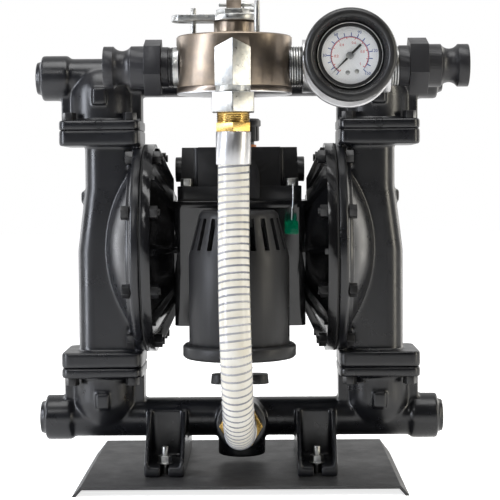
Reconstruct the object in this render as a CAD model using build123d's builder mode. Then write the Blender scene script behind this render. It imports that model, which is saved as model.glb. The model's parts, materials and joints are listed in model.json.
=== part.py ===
from build123d import *
import math
import os

# Air-operated double-diaphragm transfer pump with a selector valve, gauge and return hose.
# Millimetres. Origin on the floor under the base plate's centre, X right, front is -Y, Z up.

# Base plate
plate_width = 276.0
plate_depth = 232.0
plate_thickness = 2.6
plate_top = 8.6
flange_run = 7.7
flange_notch = 30.0

# Manifolds
lower_joint_z = 101.0
joint_spacing = 217.0
lower_pipe_drop = 49.5
upper_pipe_rise = 49.0
pipe_radius = 18.0
pipe_bore = 12.0
pipe_half = 187.2
hub_radius = 20.8
hub_length = 24.0
plug_radius = 15.0
plug_length = 5.0
hub_chamfer = 2.5
flow_half = 140.0

# Flanges between manifolds and caps
column_x = 127.0
joint_size = 74.0
joint_corner = 8.0
manifold_flange = 9.0
cap_flange = 14.3
joint_bolt_spacing = 55.0
joint_thread = 11.3
neck_radius = 30.0
neck_height = 31.0
lug_width = 12.0
lug_height = 15.0
lug_depth = 3.0
web_depth = 24.0

# Feet
foot_x = 68.3
foot_width = 36.0
foot_half_depth = 76.0
pad_thickness = 9.0
foot_wall = 4.0
foot_core = 18.0
foot_top_half = 26.0
stud_y = 56.0
stud_radius = 3.0
stud_slot = 7.0
stud_length = 27.0
stud_nut = 6.0
washer_radius = 7.3
washer_thickness = 1.4
boss_block_radius = 22.0
boss_block_bottom = 16.2
port_boss_radius = 23.0
port_boss_front = 40.0
hose_port_drop = 1.5
pocket_corner = 3.0

# Fluid caps, their sizes given on the right-hand side
disc_radius = 96.2
cap_face = 87.2
cap_disc = 9.2
dome_radius = 123.0
dome_apex = 124.5
rim_radius = 80.0
rim_step = 3.5
cap_wall = 6.0
chamber_radius = 70.0
column_inner = 92.0
column_outer_top = 142.6
column_outer_bottom = 150.0
column_half_depth = 25.0
column_corner = 16.0
column_bend_rise = 56.5
column_bend_drop = 1.5
slant_lug_rise = 38.5
slant_lug = 4.5
slant_lug_steps = (4.0, 14.0, 17.0)
slant_lug_root = 4.0
slant_lug_half = 9.0
bolt_circle = 90.0
cap_bolt_count = 8
shank_radius = 3.4
hole_clearance = 0.1
head_flats = 11.0
head_height = 7.0
nut_height = 6.8
bolt_end = 2.0

# Balls and seats
ball_radius = 13.0
ball_lift = 5.0
ball_gap = 0.05
seat_outer = 18.0
seat_inner = 10.0
seat_height = 6.0
ball_chamber = 15.6
seal_radius = 1.4
seal_groove = 3.0

# Centre housing and what moves in it
housing_face = 85.7
housing_flange = 7.9
block_half = 59.0
block_depth = 100.0
block_drop = 68.5
block_rise = 43.7
block_corner = 8.0
top_rim = 6.0
chamber_root = 68.0
air_floor = 42.0
cone_outer = 82.0
cone_inner = 48.0
rib_thickness = 5.0
rib_count = 8
rib_root = 56.0
rod_radius = 10.0
running_gap = 0.05
plate_radius = 36.0
inner_plate_x = 79.5
inner_plate = 5.2
outer_plate = 6.0
diaphragm_hub = 3.5
rod_stud = 5.0
convolution = 54.0
convolution_rise = 2.5
clamp_margin = 4.0
plate_edge = 2.0

# Air valve cover
gasket_thickness = 1.5
cover_flange_width = 112.0
cover_flange_depth = 96.0
cover_flange_height = 11.8
cover_width = 107.0
cover_depth = 90.0
cover_height = 35.2
cover_taper = 2.0
cover_shank = 3.4
cover_thread = 14.0
cover_bolt_x = 47.0
cover_bolt_y = 39.0
cover_pocket = 10.0
pocket_round = 5.0
arch_radius = 18.0
arch_rise = 22.8
arch_port_depth = 12.0
arch_port = 8.0
arch_step = 5.0
spool_rise = 28.8
spool_radius = 9.0
spool_waist = 6.5
spool_length = 80.0
spool_land = 16.0
end_plug_radius = 11.5
end_plug_depth = 6.5
end_plug_proud = 6.0
end_plug_key = 8.0
end_plug_key_depth = 5.0

# Muffler
muffler_y = -100.0
muffler_radius = 43.5
muffler_top_radius = 31.0
muffler_height = 82.0
muffler_cone = 40.0
muffler_wall = 3.0
muffler_round = 3.0
louvre_reach = 10.0
notch_width = 6.0
notch_height = 26.0
notch_rise = 26.0
notch_forward = 8.0
louvre_count = 20
louvre_width = 5.0
louvre_height = 27.0
base_ring_radius = 49.0
base_ring_drop = 5.0
base_ring_height = 12.0
base_ring_round = 2.0
exhaust_radius = 17.0
exhaust_rise = 29.0
exhaust_above_bottom = 46.0
wing_width = 50.6
wing_depth = 20.0
wing_drop = 28.0
wing_height = 8.0
wing_taper = 6.0
wing_skin = 2.5
wing_rim = 3.0
wing_gap = 0.3
wing_screw_gap = 1.0
wing_hub = 10.0
wing_hollow_x = 16.0
wing_hollow_length = 15.0
wing_screw = 4.0

# Selector valve
valve_x = -3.0
valve_y = -88.0
valve_radius = 50.0
valve_edge = 1.2
valve_height = 50.0
valve_below_port = 24.0
bottom_plate = 6.0
port_rise = 3.0
rotor_radius = 30.0
rotor_cap = 8.0
rotor_gap = 0.3
stem_radius = 9.0
gland_ring = 3.0
gland_radius = 17.5
gland_lip = 1.5
gland_height = 12.9
gland_gap = 0.3
lever_thickness = 5.5
lever_tip = 54.0
lever_hub = 21.0
lever_tip_half = 12.0
lever_hole = 3.0
lever_hole_in = 9.0
lever_nose = 6.0
lever_half_width = 15.0
lever_nut_height = 5.0
lever_nut_flats = 27.0
post_side = 12.7
post_rise = 31.2
pin_hole_drop = 3.7
hitch_radius = 1.5
hitch_length = 26.0
hitch_loop = 1.5
hitch_loop_gap = 1.0
stop_radius = 2.5
stop_rise = 27.0
stop_depth = 6.0
stop_slot_width = 1.0
stop_slot_depth = 1.5
stop_left = (-36.0, 20.0)
stop_right = (20.0, -35.0)
spot_depth = 2.0
spot_radius = 19.0

# Pipework on the selector valve
thread_1in = 16.7
thread_34in = 13.2
thread_depth = 10.0
flow_radius = 12.0
nipple_wall = 2.6
nipple_depth = 8.0
hex_turn = 17.0
camlock_lip = 18.35
camlock_groove = 14.5
camlock_ring = 18.5
camlock_flats = 44.0
camlock_collar = 17.6
left_camlock_out = (65.0, 56.5, 41.3, 29.5, 14.9, 8.8)
right_camlock_out = (67.6, 58.4, 43.6, 32.2, 16.1, 7.6)
tee_gap = 11.0
tee_length = 75.6
tee_radius = 23.0
tee_thread = 12.0
tee_band = 10.0
tee_band_rise = 2.0
tee_branch = 16.0

# Gauge
gauge_from_tee = 37.5
gauge_rise = 4.0
isolator_rise = 1.0
isolator_radius = 38.5
isolator_reach = 36.0
isolator_edge = 1.0
isolator_thickness = 8.0
case_radius = 27.5
case_gap = 2.0
case_stem = 8.0
case_lip = 1.5
case_front_step = 1.0
dial_reach = 26.0
dial_radius = 25.0
dial_thickness = 1.0
lens_reach = 3.0
lens_thickness = 1.5
boot_reach = 12.0
boot_foot = (2.0, 3.0)
boot_rim = (1.0, 3.0, 4.0)
boot_back_radius = 33.0
boot_front_radius = 38.5
boot_mouth = 31.5
needle_length = 21.5
needle_half = 1.0
needle_tail = 13.0
needle_hub = 2.4
needle_pivot = 1.0
needle_gap = 0.8
needle_thickness = 0.5
needle_rest = 225.0

# Elbow, fittings and hose
elbow_reach = 67.0
elbow_flats = 29.5
elbow_drop = 20.5
elbow_shoulder_rise = 11.0
elbow_apex_rise = 18.0
collar_height = 5.0
collar_radius = 14.5
nut_height_upper = 16.7
swivel_flats = 34.5
nut_thread = 10.0
upper_thread_radius = 13.15
upper_thread_length = 8.6
upper_hex_length = 7.2
upper_hex_flats = 27.5
barb_radius = 9.5
ferrule_radius = 14.5
upper_ferrule = 27.2
lower_ferrule = 27.0
lower_hex_flats = 34.0
lower_hex_length = 12.0
lower_gap = 3.0
hose_radius = 13.0
hose_bore = 9.5
hose_points = [
    (-3.0, -155.0, 284.8), (-3.0, -155.0, 262.0), (-3.4, -159.5, 229.0), (-3.3, -168.0, 191.0),
    (-2.6, -175.5, 155.0), (-1.6, -177.5, 121.0), (-0.9, -164.0, 88.5), (-0.4, -138.5, 63.5),
    (0.0, -106.0, 50.0), (0.0, -82.0, 50.0),
]

# Air regulator behind the cover
regulator_reach = 45.0
regulator_side = 40.0
regulator_corner = 6.0
regulator_below = 24.0
regulator_above = 21.0
regulator_neck = 13.0
ring_height = 3.6
ring_lip = 2.0
knob_gap = 7.0
knob_height = 22.0
knob_radius = 18.0
knob_round = 2.0
knob_band_radius = 19.5
knob_band = 8.0
knob_seat = 10.0
knob_clear = 0.3
knob_grooves = 12
groove_radius = 2.0
groove_out = 1.0
inlet_radius = 6.6
inlet_depth = 12.0
air_nipple_radius = 8.5

# Seal
tag_in = 0.6
tag_reach = 14.0
tag_drop = 23.5
tag_side = 12.0
tag_thickness = 2.6
tag_corner = 1.5
tag_hole_in = 2.5
tag_hole_gap = 0.3
wire_radius = 0.6
wire_rise = 2.0
wire_fall = 12.0
wire_reach = 6.0
wire_bend = 2.5

os.makedirs("parts", exist_ok=True)
upper_joint_z = lower_joint_z + joint_spacing
pump_z = (lower_joint_z + upper_joint_z) / 2
lower_pipe_z = lower_joint_z - lower_pipe_drop
upper_pipe_z = upper_joint_z + upper_pipe_rise
hose_port_z = lower_pipe_z - hose_port_drop
block_bottom = pump_z - block_drop
block_top = pump_z + block_rise
arch_z = block_top + arch_rise
spool_z = block_top + spool_rise
exhaust_z = block_bottom + exhaust_rise
muffler_bottom = exhaust_z - exhaust_above_bottom
muffler_shoulder = muffler_bottom + muffler_height
muffler_top = muffler_shoulder + muffler_cone
base_ring_bottom = muffler_bottom - base_ring_drop
wing_bottom = muffler_bottom - wing_drop
port_z = upper_pipe_z + port_rise
valve_bottom = port_z - valve_below_port
valve_top = valve_bottom + valve_height
rotor_bottom = valve_bottom + bottom_plate
rotor_top = valve_top - rotor_cap
gland_top = valve_top + gland_height
post_top = valve_top + post_rise
pin_hole_z = post_top - pin_hole_drop
stop_top = valve_top + stop_rise
left_port_x = valve_x - valve_radius + spot_depth
right_port_x = valve_x + valve_radius - spot_depth
front_port_y = valve_y - valve_radius + spot_depth
rear_port_y = valve_y + valve_radius - spot_depth
tee_left = right_port_x + tee_gap
tee_right = tee_left + tee_length
left_camlock_x = [left_port_x - out for out in left_camlock_out]
right_camlock_x = [tee_right + out for out in right_camlock_out]
gauge_x = tee_left + gauge_from_tee
gauge_z = port_z + gauge_rise
isolator_z = port_z + isolator_rise
isolator_front = valve_y - isolator_reach
case_back = isolator_front - case_gap
dial_y = isolator_front - dial_reach
lens_y = dial_y - lens_reach
boot_front = lens_y - boot_reach
elbow_y = valve_y - elbow_reach
elbow_bottom = port_z - elbow_drop
elbow_shoulder = port_z + elbow_shoulder_rise
elbow_apex = port_z + elbow_apex_rise
collar_bottom = elbow_bottom - collar_height
nut_bottom = collar_bottom - nut_height_upper
upper_hex_top = nut_bottom - upper_thread_length
upper_hex_bottom = upper_hex_top - upper_hex_length
hose_top = upper_hex_bottom - upper_ferrule
boss_face = -port_boss_front
fitting_front = boss_face - lower_gap - lower_hex_length
lower_ferrule_front = fitting_front - lower_ferrule
regulator_y = cover_depth / 2 + regulator_reach
regulator_bottom = spool_z - regulator_below
regulator_shoulder = spool_z + regulator_above
knob_bottom = regulator_shoulder + knob_gap
knob_top = knob_bottom + knob_height
tag_x = cover_bolt_x - tag_in
tag_y = -cover_flange_depth / 2 - tag_reach
tag_z = block_top - tag_drop
flange_back = housing_face - housing_flange
hub_x = inner_plate_x + inner_plate
pump_plane = Plane(origin=(0, 0, pump_z), x_dir=(0, 1, 0), z_dir=(1, 0, 0))
muffler_axis = Axis((0, muffler_y, 0), (0, 0, 1))
seat_drop = math.sqrt(ball_radius**2 - seat_inner**2) + ball_gap
cap_disc_x = cap_face + cap_disc
dome_centre = dome_apex - dome_radius
cover_bottom = block_top + gasket_thickness
pads_top = plate_top + pad_thickness
case_front = lens_y - lens_thickness - case_front_step
lever_top = gland_top + lever_thickness


def write(piece, name):
    """Labels a finished piece and writes it to its own file."""
    piece.part.label = name
    export_step(piece.part, f"parts/{name}.step")


def turned_about_x(z, points):
    """Turns an outline of (x, radius) points about a line along X at height z."""
    with BuildSketch(Plane.XZ) as profile:
        with BuildLine():
            Polyline(*[(x, z + r) for x, r in points], close=True)
        make_face()
    revolve(profile.sketch, axis=Axis((0, 0, z), (1, 0, 0)))


def hexagon(flats):
    """A hexagon in the current sketch by its width across flats, with a corner towards local X."""
    RegularPolygon(flats / 2, 6, major_radius=False)


def manifold(pipe_z, joint_z, up):
    """Pipe, hubs, ball necks and joint flanges; up is 1 where the pipe lies above its joints."""
    hub_end = pipe_half - plug_length
    turned_about_x(pipe_z, [
        (-pipe_half, 0), (-pipe_half, plug_radius), (-hub_end, plug_radius), (-hub_end, hub_radius),
        (hub_length - hub_end, hub_radius), (hub_length - hub_end + hub_chamfer, pipe_radius),
        (hub_end - hub_length - hub_chamfer, pipe_radius), (hub_end - hub_length, hub_radius),
        (hub_end, hub_radius), (hub_end, plug_radius), (pipe_half, plug_radius), (pipe_half, 0)])
    flange_z = joint_z if up > 0 else joint_z - manifold_flange
    with BuildSketch(Plane.XY.offset(flange_z)) as profile:
        with GridLocations(2 * column_x, 0, 2, 1):
            RectangleRounded(joint_size, joint_size, joint_corner)
    extrude(profile.sketch, amount=manifold_flange)
    neck_z = joint_z if up > 0 else joint_z - neck_height
    with BuildSketch(Plane.XY.offset(neck_z)) as profile:
        with GridLocations(2 * column_x, 0, 2, 1):
            Circle(neck_radius)
    extrude(profile.sketch, amount=neck_height)
    with Locations(*[(side * column_x, 0, joint_z + up * neck_height) for side in (-1, 1)]):
        Sphere(neck_radius)
    with Locations(*[(side * column_x, 0, (joint_z + pipe_z) / 2) for side in (-1, 1)]):
        Box(joint_size, web_depth, abs(pipe_z - joint_z))
    lug_z = joint_z + up * neck_height
    with Locations(*[(side * column_x, -neck_radius, lug_z) for side in (-1, 1)]):
        Box(lug_width, 2 * lug_depth, lug_height)


def manifold_passages(pipe_z, joint_z, up):
    """Cuts the flow passage along the pipe and the ports up or down to the joints."""
    with Locations(Location((0, 0, pipe_z), (0, 90, 0))):
        Cylinder(pipe_bore, 2 * flow_half, mode=Mode.SUBTRACT)
    with BuildSketch(Plane.XY.offset(joint_z)) as profile:
        with GridLocations(2 * column_x, 0, 2, 1):
            Circle(seat_inner)
    extrude(profile.sketch, amount=pipe_z - joint_z, mode=Mode.SUBTRACT)
    with BuildSketch(Plane.XY.offset(joint_z)) as profile:
        with GridLocations(2 * column_x, 0, 2, 1):
            with GridLocations(joint_bolt_spacing, joint_bolt_spacing, 2, 2):
                Circle(shank_radius + hole_clearance)
    extrude(profile.sketch, amount=up * manifold_flange, mode=Mode.SUBTRACT)


def joint_bolts(joint_z, up):
    """Four bolts at each joint: heads on the manifold flange, shanks into the cap flange."""
    head_z = joint_z + up * manifold_flange
    with BuildSketch(Plane.XY.offset(head_z)) as profile:
        with GridLocations(2 * column_x, 0, 2, 1):
            with GridLocations(joint_bolt_spacing, joint_bolt_spacing, 2, 2):
                hexagon(head_flats)
    extrude(profile.sketch, amount=up * head_height)
    with BuildSketch(Plane.XY.offset(head_z)) as profile:
        with GridLocations(2 * column_x, 0, 2, 1):
            with GridLocations(joint_bolt_spacing, joint_bolt_spacing, 2, 2):
                Circle(shank_radius)
    extrude(profile.sketch, amount=-up * (manifold_flange + joint_thread))


def dome_arc(radius, start_r, end_r):
    """An arc of the dome's own sphere in the current line, between two distances from its axis."""
    points = []
    for r in (start_r, (start_r + end_r) / 2, end_r):
        points.append((dome_centre + math.sqrt(radius**2 - r**2), pump_z + r))
    ThreePointArc(*points)


def port_threads(x, start_y, end_y, radius, z):
    """A round plug along Y in the current part."""
    with BuildSketch(Plane.XZ.offset(-start_y)) as profile:
        with Locations((x, z)):
            Circle(radius)
    extrude(profile.sketch, amount=start_y - end_y)


def along_x(y, z, rings):
    """Round steps along X about (y, z): each is (start x, end x, radius)."""
    for start, end, radius in rings:
        with BuildSketch(Plane(origin=(start, y, z), x_dir=(0, 1, 0), z_dir=(1, 0, 0))) as profile:
            Circle(radius)
        extrude(profile.sketch, amount=end - start)


# Base plate: a bent sheet, its rear flange corners cut away
with BuildPart() as base_plate:
    outer_half = plate_width / 2
    with BuildSketch(Plane.XZ):
        with BuildLine():
            fall = plate_top / flange_run
            inner_drop = plate_thickness
            inset = plate_thickness * (math.sqrt(1 + fall**2) - 1) / fall
            tip = outer_half + flange_run
            foot = plate_thickness * math.sqrt(1 + fall**2) / fall
            Polyline((0, plate_top), (outer_half, plate_top), (tip, 0), (tip - foot, 0),
                     (outer_half - inset, plate_top - inner_drop), (0, plate_top - inner_drop), close=True)
        make_face()
        mirror(about=Plane.YZ)
    extrude(amount=plate_depth / 2, both=True)
    with BuildSketch(Plane.XY):
        for side in (-1, 1):
            with BuildLine():
                Polyline((side * (outer_half + 0.5), plate_depth / 2), (side * (tip + 1), plate_depth / 2),
                         (side * (tip + 1), plate_depth / 2 - flange_notch), close=True)
            make_face()
    extrude(amount=plate_top, mode=Mode.SUBTRACT)
    with BuildSketch(Plane.XY):
        with GridLocations(2 * foot_x, 2 * stud_y, 2, 2):
            Circle(stud_radius + hole_clearance)
    extrude(amount=plate_top, mode=Mode.SUBTRACT)
write(base_plate, "base_plate")

# Lower manifold: pipe with ball necks, two feet and a centre boss for the hose
with BuildPart() as lower_manifold:
    manifold(lower_pipe_z, lower_joint_z, -1)
    with BuildSketch(Plane.YZ.offset(-foot_x - foot_width / 2)) as foot_side:
        with BuildLine():
            Polyline((-foot_half_depth, plate_top), (foot_half_depth, plate_top),
                     (foot_half_depth, pads_top + foot_wall), (foot_top_half, lower_pipe_z + pipe_radius / 2),
                     (-foot_top_half, lower_pipe_z + pipe_radius / 2),
                     (-foot_half_depth, pads_top + foot_wall), close=True)
        make_face()
    extrude(amount=foot_width)
    with BuildSketch(Plane.YZ.offset(foot_x - foot_width / 2)):
        add(foot_side.sketch_local)
    extrude(amount=foot_width)
    pocket_depth = foot_half_depth - foot_core
    with BuildSketch(Plane.XY.offset(pads_top)):
        with GridLocations(2 * foot_x, foot_half_depth + foot_core, 2, 2):
            RectangleRounded(foot_width - 2 * foot_wall, pocket_depth, pocket_corner)
        with GridLocations(2 * foot_x, 2 * foot_half_depth, 2, 2):
            Rectangle(foot_width - 2 * foot_wall, pocket_depth)
    extrude(amount=lower_pipe_z, mode=Mode.SUBTRACT)
    with BuildSketch(Plane.XY.offset(plate_top)):
        with GridLocations(2 * foot_x, stud_y + foot_half_depth, 2, 2):
            Rectangle(stud_slot, foot_half_depth - stud_y + 1)
        with GridLocations(2 * foot_x, 2 * stud_y, 2, 2):
            Circle(stud_slot / 2)
    extrude(amount=pad_thickness, mode=Mode.SUBTRACT)
    turned_about_x(lower_pipe_z, [(-flow_half, 0), (-flow_half, pipe_radius),
                                  (flow_half, pipe_radius), (flow_half, 0)])
    with BuildSketch(Plane.XY.offset(boss_block_bottom)):
        Circle(boss_block_radius)
    extrude(amount=lower_pipe_z - boss_block_bottom)
    with BuildSketch(Plane.XZ.offset(0)):
        with Locations((0, hose_port_z)):
            Circle(port_boss_radius)
    extrude(amount=port_boss_front)
    manifold_passages(lower_pipe_z, lower_joint_z, -1)
    with BuildSketch(Plane.XZ):
        with Locations((0, hose_port_z)):
            Circle(thread_34in + hole_clearance)
    extrude(amount=port_boss_front, mode=Mode.SUBTRACT)
    with BuildSketch(Plane.XY.offset(lower_joint_z)):
        with GridLocations(2 * column_x, 0, 2, 1):
            Circle(seat_outer + hole_clearance)
    extrude(amount=-seat_height, mode=Mode.SUBTRACT)
write(lower_manifold, "lower_manifold")

# Upper manifold: pipe with ball chambers above its joints and a front boss for the selector valve
with BuildPart() as upper_manifold:
    manifold(upper_pipe_z, upper_joint_z, 1)
    with BuildSketch(Plane.XZ):
        with Locations((0, port_z)):
            Circle(port_boss_radius)
    extrude(amount=port_boss_front - thread_depth)
    manifold_passages(upper_pipe_z, upper_joint_z, 1)
    with BuildSketch(Plane.XZ.offset(port_boss_front - 2 * thread_depth)):
        with Locations((valve_x, port_z)):
            Circle(thread_34in + hole_clearance)
    extrude(amount=thread_depth, mode=Mode.SUBTRACT)
    with BuildSketch(Plane.XZ):
        with Locations((valve_x, port_z)):
            Circle(pipe_bore - 2)
    extrude(amount=port_boss_front, mode=Mode.SUBTRACT)
    with BuildSketch(Plane.XY.offset(upper_joint_z)):
        with GridLocations(2 * column_x, 0, 2, 1):
            Circle(ball_chamber)
    extrude(amount=seat_drop + ball_radius + ball_lift + 2, mode=Mode.SUBTRACT)
write(upper_manifold, "upper_manifold")

# Fluid cap: disc, dome, column and two joint flanges, hollow for the chamber and both balls
with BuildPart() as right_fluid_cap:
    dome_edge = dome_centre + math.sqrt(dome_radius**2 - (rim_radius - rim_step)**2)
    inner_sphere = dome_radius - cap_wall
    with BuildSketch(Plane.XZ):
        with BuildLine():
            Polyline((dome_apex, pump_z), (cap_face, pump_z), (cap_face, pump_z + disc_radius),
                     (cap_disc_x - 2, pump_z + disc_radius), (cap_disc_x, pump_z + disc_radius - 2),
                     (cap_disc_x, pump_z + rim_radius + rim_step),
                     (dome_edge + rim_step, pump_z + rim_radius + rim_step - 2),
                     (dome_edge + rim_step, pump_z + rim_radius - rim_step + 2),
                     (dome_edge, pump_z + rim_radius - rim_step))
            dome_arc(dome_radius, rim_radius - rim_step, 0)
        make_face()
    revolve(axis=Axis((0, 0, pump_z), (1, 0, 0)))
    column_steps = ((lower_joint_z + cap_flange / 2, column_outer_bottom),
                    (pump_z - column_bend_drop, column_outer_bottom),
                    (pump_z + column_bend_rise, column_outer_top),
                    (upper_joint_z - cap_flange / 2, column_outer_top))
    for z, outer in column_steps:
        with BuildSketch(Plane.XY.offset(z)):
            with Locations(((column_inner + outer) / 2, 0)):
                RectangleRounded(outer - column_inner, 2 * column_half_depth, column_corner)
    loft(ruled=True)
    for z in (lower_joint_z, upper_joint_z - cap_flange):
        with BuildSketch(Plane.XY.offset(z)):
            with Locations((column_x, 0)):
                RectangleRounded(joint_size, joint_size, joint_corner)
        extrude(amount=cap_flange)
    with BuildSketch(Plane.XZ):
        with BuildLine():
            lug_bottom = pump_z + slant_lug_rise
            lug_in, lug_out = column_outer_top - slant_lug_root, column_outer_top + slant_lug
            foot_step, head_step, top_step = slant_lug_steps
            Polyline((lug_in, lug_bottom), (lug_out, lug_bottom + foot_step),
                     (lug_out, lug_bottom + head_step), (lug_in, lug_bottom + top_step), close=True)
        make_face()
    extrude(amount=slant_lug_half, both=True)
    with BuildSketch(Plane.XZ):
        with BuildLine():
            Line((cap_face, pump_z), (cap_face, pump_z + chamber_radius))
            Line((cap_face, pump_z + chamber_radius),
                 (dome_centre + math.sqrt(inner_sphere**2 - chamber_radius**2), pump_z + chamber_radius))
            dome_arc(inner_sphere, chamber_radius, 0)
            Line((dome_centre + inner_sphere, pump_z), (cap_face, pump_z))
        make_face()
    revolve(axis=Axis((0, 0, pump_z), (1, 0, 0)), mode=Mode.SUBTRACT)
    with BuildSketch(Plane.XY.offset(lower_joint_z)):
        with Locations((column_x, 0)):
            Circle(seat_inner)
    extrude(amount=upper_joint_z - lower_joint_z, mode=Mode.SUBTRACT)
    with BuildSketch(Plane.XY.offset(lower_joint_z)):
        with Locations((column_x, 0)):
            Circle(ball_chamber)
    extrude(amount=seat_drop + ball_radius + ball_lift + 2, mode=Mode.SUBTRACT)
    with BuildSketch(Plane.XY.offset(upper_joint_z)):
        with Locations((column_x, 0)):
            Circle(seat_outer + hole_clearance)
    extrude(amount=-seat_height, mode=Mode.SUBTRACT)
    for z, way in ((lower_joint_z, 1), (upper_joint_z, -1)):
        with BuildSketch(Plane.XY.offset(z)):
            with Locations((column_x, 0)):
                with GridLocations(joint_bolt_spacing, joint_bolt_spacing, 2, 2):
                    Circle(shank_radius + hole_clearance)
        extrude(amount=way * joint_thread, mode=Mode.SUBTRACT)
    with BuildSketch(pump_plane.offset(cap_face)):
        with PolarLocations(bolt_circle, cap_bolt_count, start_angle=180 / cap_bolt_count):
            Circle(shank_radius + hole_clearance)
    extrude(amount=cap_disc, mode=Mode.SUBTRACT)
write(right_fluid_cap, "right_fluid_cap")

with BuildPart() as left_fluid_cap:
    mirror(right_fluid_cap.part, about=Plane.YZ)
write(left_fluid_cap, "left_fluid_cap")

# Centre housing: a block between two ribbed air chambers
with BuildPart() as center_housing:
    with BuildSketch(Plane.XY.offset(block_bottom)):
        RectangleRounded(2 * block_half, block_depth, block_corner)
    extrude(amount=block_top - block_bottom)
    with BuildSketch(Plane.XY.offset(block_top - top_rim)):
        RectangleRounded(cover_flange_width + 4, cover_flange_depth + 8, block_corner)
    extrude(amount=top_rim)
    for side in (-1, 1):
        turned_about_x(pump_z, [(0, 0), (0, cone_inner), (side * block_half, cone_inner),
                                (side * flange_back, cone_outer), (side * flange_back, disc_radius),
                                (side * housing_face, disc_radius), (side * housing_face, 0)])
        for step in range(rib_count):
            angle = math.radians(step * 360 / rib_count)
            radial = Plane(origin=(0, 0, pump_z), x_dir=(side, 0, 0),
                           z_dir=(0, -side * math.sin(angle), side * math.cos(angle)))
            with BuildSketch(radial):
                with BuildLine():
                    Polyline((rib_root, cone_inner - 6), (flange_back + 1, cone_inner),
                             (flange_back + 1, disc_radius - 4), (flange_back - 3, disc_radius - 4),
                             (rib_root, cone_inner + 4), close=True)
                make_face()
            extrude(amount=rib_thickness / 2, both=True)
    for side in (-1, 1):
        with BuildSketch(Plane.XZ):
            with BuildLine():
                Polyline((side * housing_face, pump_z), (side * housing_face, pump_z + chamber_radius),
                         (side * chamber_root, pump_z + air_floor), (side * chamber_root, pump_z), close=True)
            make_face()
        revolve(axis=Axis((0, 0, pump_z), (1, 0, 0)), mode=Mode.SUBTRACT)
        with BuildSketch(pump_plane.offset(side * housing_face)):
            with PolarLocations(bolt_circle, cap_bolt_count, start_angle=180 / cap_bolt_count):
                Circle(shank_radius + hole_clearance)
        extrude(amount=-side * housing_flange, mode=Mode.SUBTRACT)
    with Locations((0, 0, block_top + disc_radius / 2)):
        Box(cover_width + 2 * end_plug_proud + 4, 2 * disc_radius, disc_radius, mode=Mode.SUBTRACT)
    with Locations(Location((0, 0, pump_z), (0, 90, 0))):
        Cylinder(rod_radius + running_gap, 2 * chamber_root, mode=Mode.SUBTRACT)
    with BuildSketch(Plane.XY.offset(block_top)):
        with GridLocations(2 * cover_bolt_x, 2 * cover_bolt_y, 2, 2):
            Circle(cover_shank + hole_clearance)
    extrude(amount=-cover_thread, mode=Mode.SUBTRACT)
write(center_housing, "center_housing")

with BuildPart() as cover_gasket:
    with BuildSketch(Plane.XY.offset(block_top)):
        RectangleRounded(cover_flange_width, cover_flange_depth, block_corner)
        with GridLocations(2 * cover_bolt_x, 2 * cover_bolt_y, 2, 2):
            Circle(cover_shank + hole_clearance, mode=Mode.SUBTRACT)
    extrude(amount=gasket_thickness)
write(cover_gasket, "cover_gasket")

# Air valve cover: a stepped casting with bolt pockets, an arched front boss and the spool's bore
with BuildPart() as air_valve_cover:
    casting_base = cover_bottom + cover_flange_height
    with BuildSketch(Plane.XY.offset(cover_bottom)):
        RectangleRounded(cover_flange_width, cover_flange_depth, block_corner)
    extrude(amount=cover_flange_height)
    with BuildSketch(Plane.XY.offset(casting_base)):
        RectangleRounded(cover_width, cover_depth, block_corner)
    extrude(amount=cover_height, taper=cover_taper)
    with BuildSketch(Plane.XY.offset(casting_base)):
        with GridLocations(2 * cover_bolt_x, 2 * cover_bolt_y, 2, 2):
            RectangleRounded(2 * cover_pocket, 2 * cover_pocket, pocket_round)
    extrude(amount=cover_height, mode=Mode.SUBTRACT)
    arch_front = cover_flange_depth / 2 + arch_step
    with BuildSketch(Plane.XZ.offset(cover_depth / 2 - arch_step)):
        with BuildLine():
            ThreePointArc((-arch_radius, arch_z), (0, arch_z + arch_radius), (arch_radius, arch_z))
            Polyline((arch_radius, arch_z), (arch_radius, cover_bottom + 1), (-arch_radius, cover_bottom + 1),
                     (-arch_radius, arch_z))
        make_face()
    extrude(amount=arch_front - cover_depth / 2 + arch_step)
    with BuildSketch(Plane.XZ.offset(arch_front)):
        with Locations((0, arch_z)):
            Circle(arch_port)
    extrude(amount=-arch_port_depth, mode=Mode.SUBTRACT)
    with Locations(Location((0, 0, spool_z), (0, 90, 0))):
        Cylinder(spool_radius + running_gap, cover_width - 2 * end_plug_depth, mode=Mode.SUBTRACT)
    for side in (-1, 1):
        with BuildSketch(Plane(origin=(side * cover_width / 2, 0, spool_z),
                               x_dir=(0, 1, 0), z_dir=(side, 0, 0))):
            Circle(end_plug_radius + hole_clearance)
        extrude(amount=-end_plug_depth, mode=Mode.SUBTRACT)
    with BuildSketch(Plane.XY.offset(cover_bottom)):
        with GridLocations(2 * cover_bolt_x, 2 * cover_bolt_y, 2, 2):
            Circle(cover_shank + hole_clearance)
    extrude(amount=cover_flange_height, mode=Mode.SUBTRACT)
    with BuildSketch(Plane.XZ.offset(-cover_depth / 2)):
        with Locations((0, spool_z)):
            Circle(air_nipple_radius + hole_clearance)
    extrude(amount=nipple_depth, mode=Mode.SUBTRACT)
write(air_valve_cover, "air_valve_cover")

with BuildPart() as valve_end_plugs:
    for side in (-1, 1):
        with BuildSketch(Plane(origin=(side * (cover_width / 2 - end_plug_depth), 0, spool_z),
                               x_dir=(0, 1, 0), z_dir=(side, 0, 0))):
            Circle(end_plug_radius)
        extrude(amount=end_plug_depth + end_plug_proud)
        with BuildSketch(Plane(origin=(side * (cover_width / 2 + end_plug_proud), 0, spool_z),
                               x_dir=(0, 1, 0), z_dir=(side, 0, 0))):
            hexagon(end_plug_key)
        extrude(amount=-end_plug_key_depth, mode=Mode.SUBTRACT)
write(valve_end_plugs, "valve_end_plugs")

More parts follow.
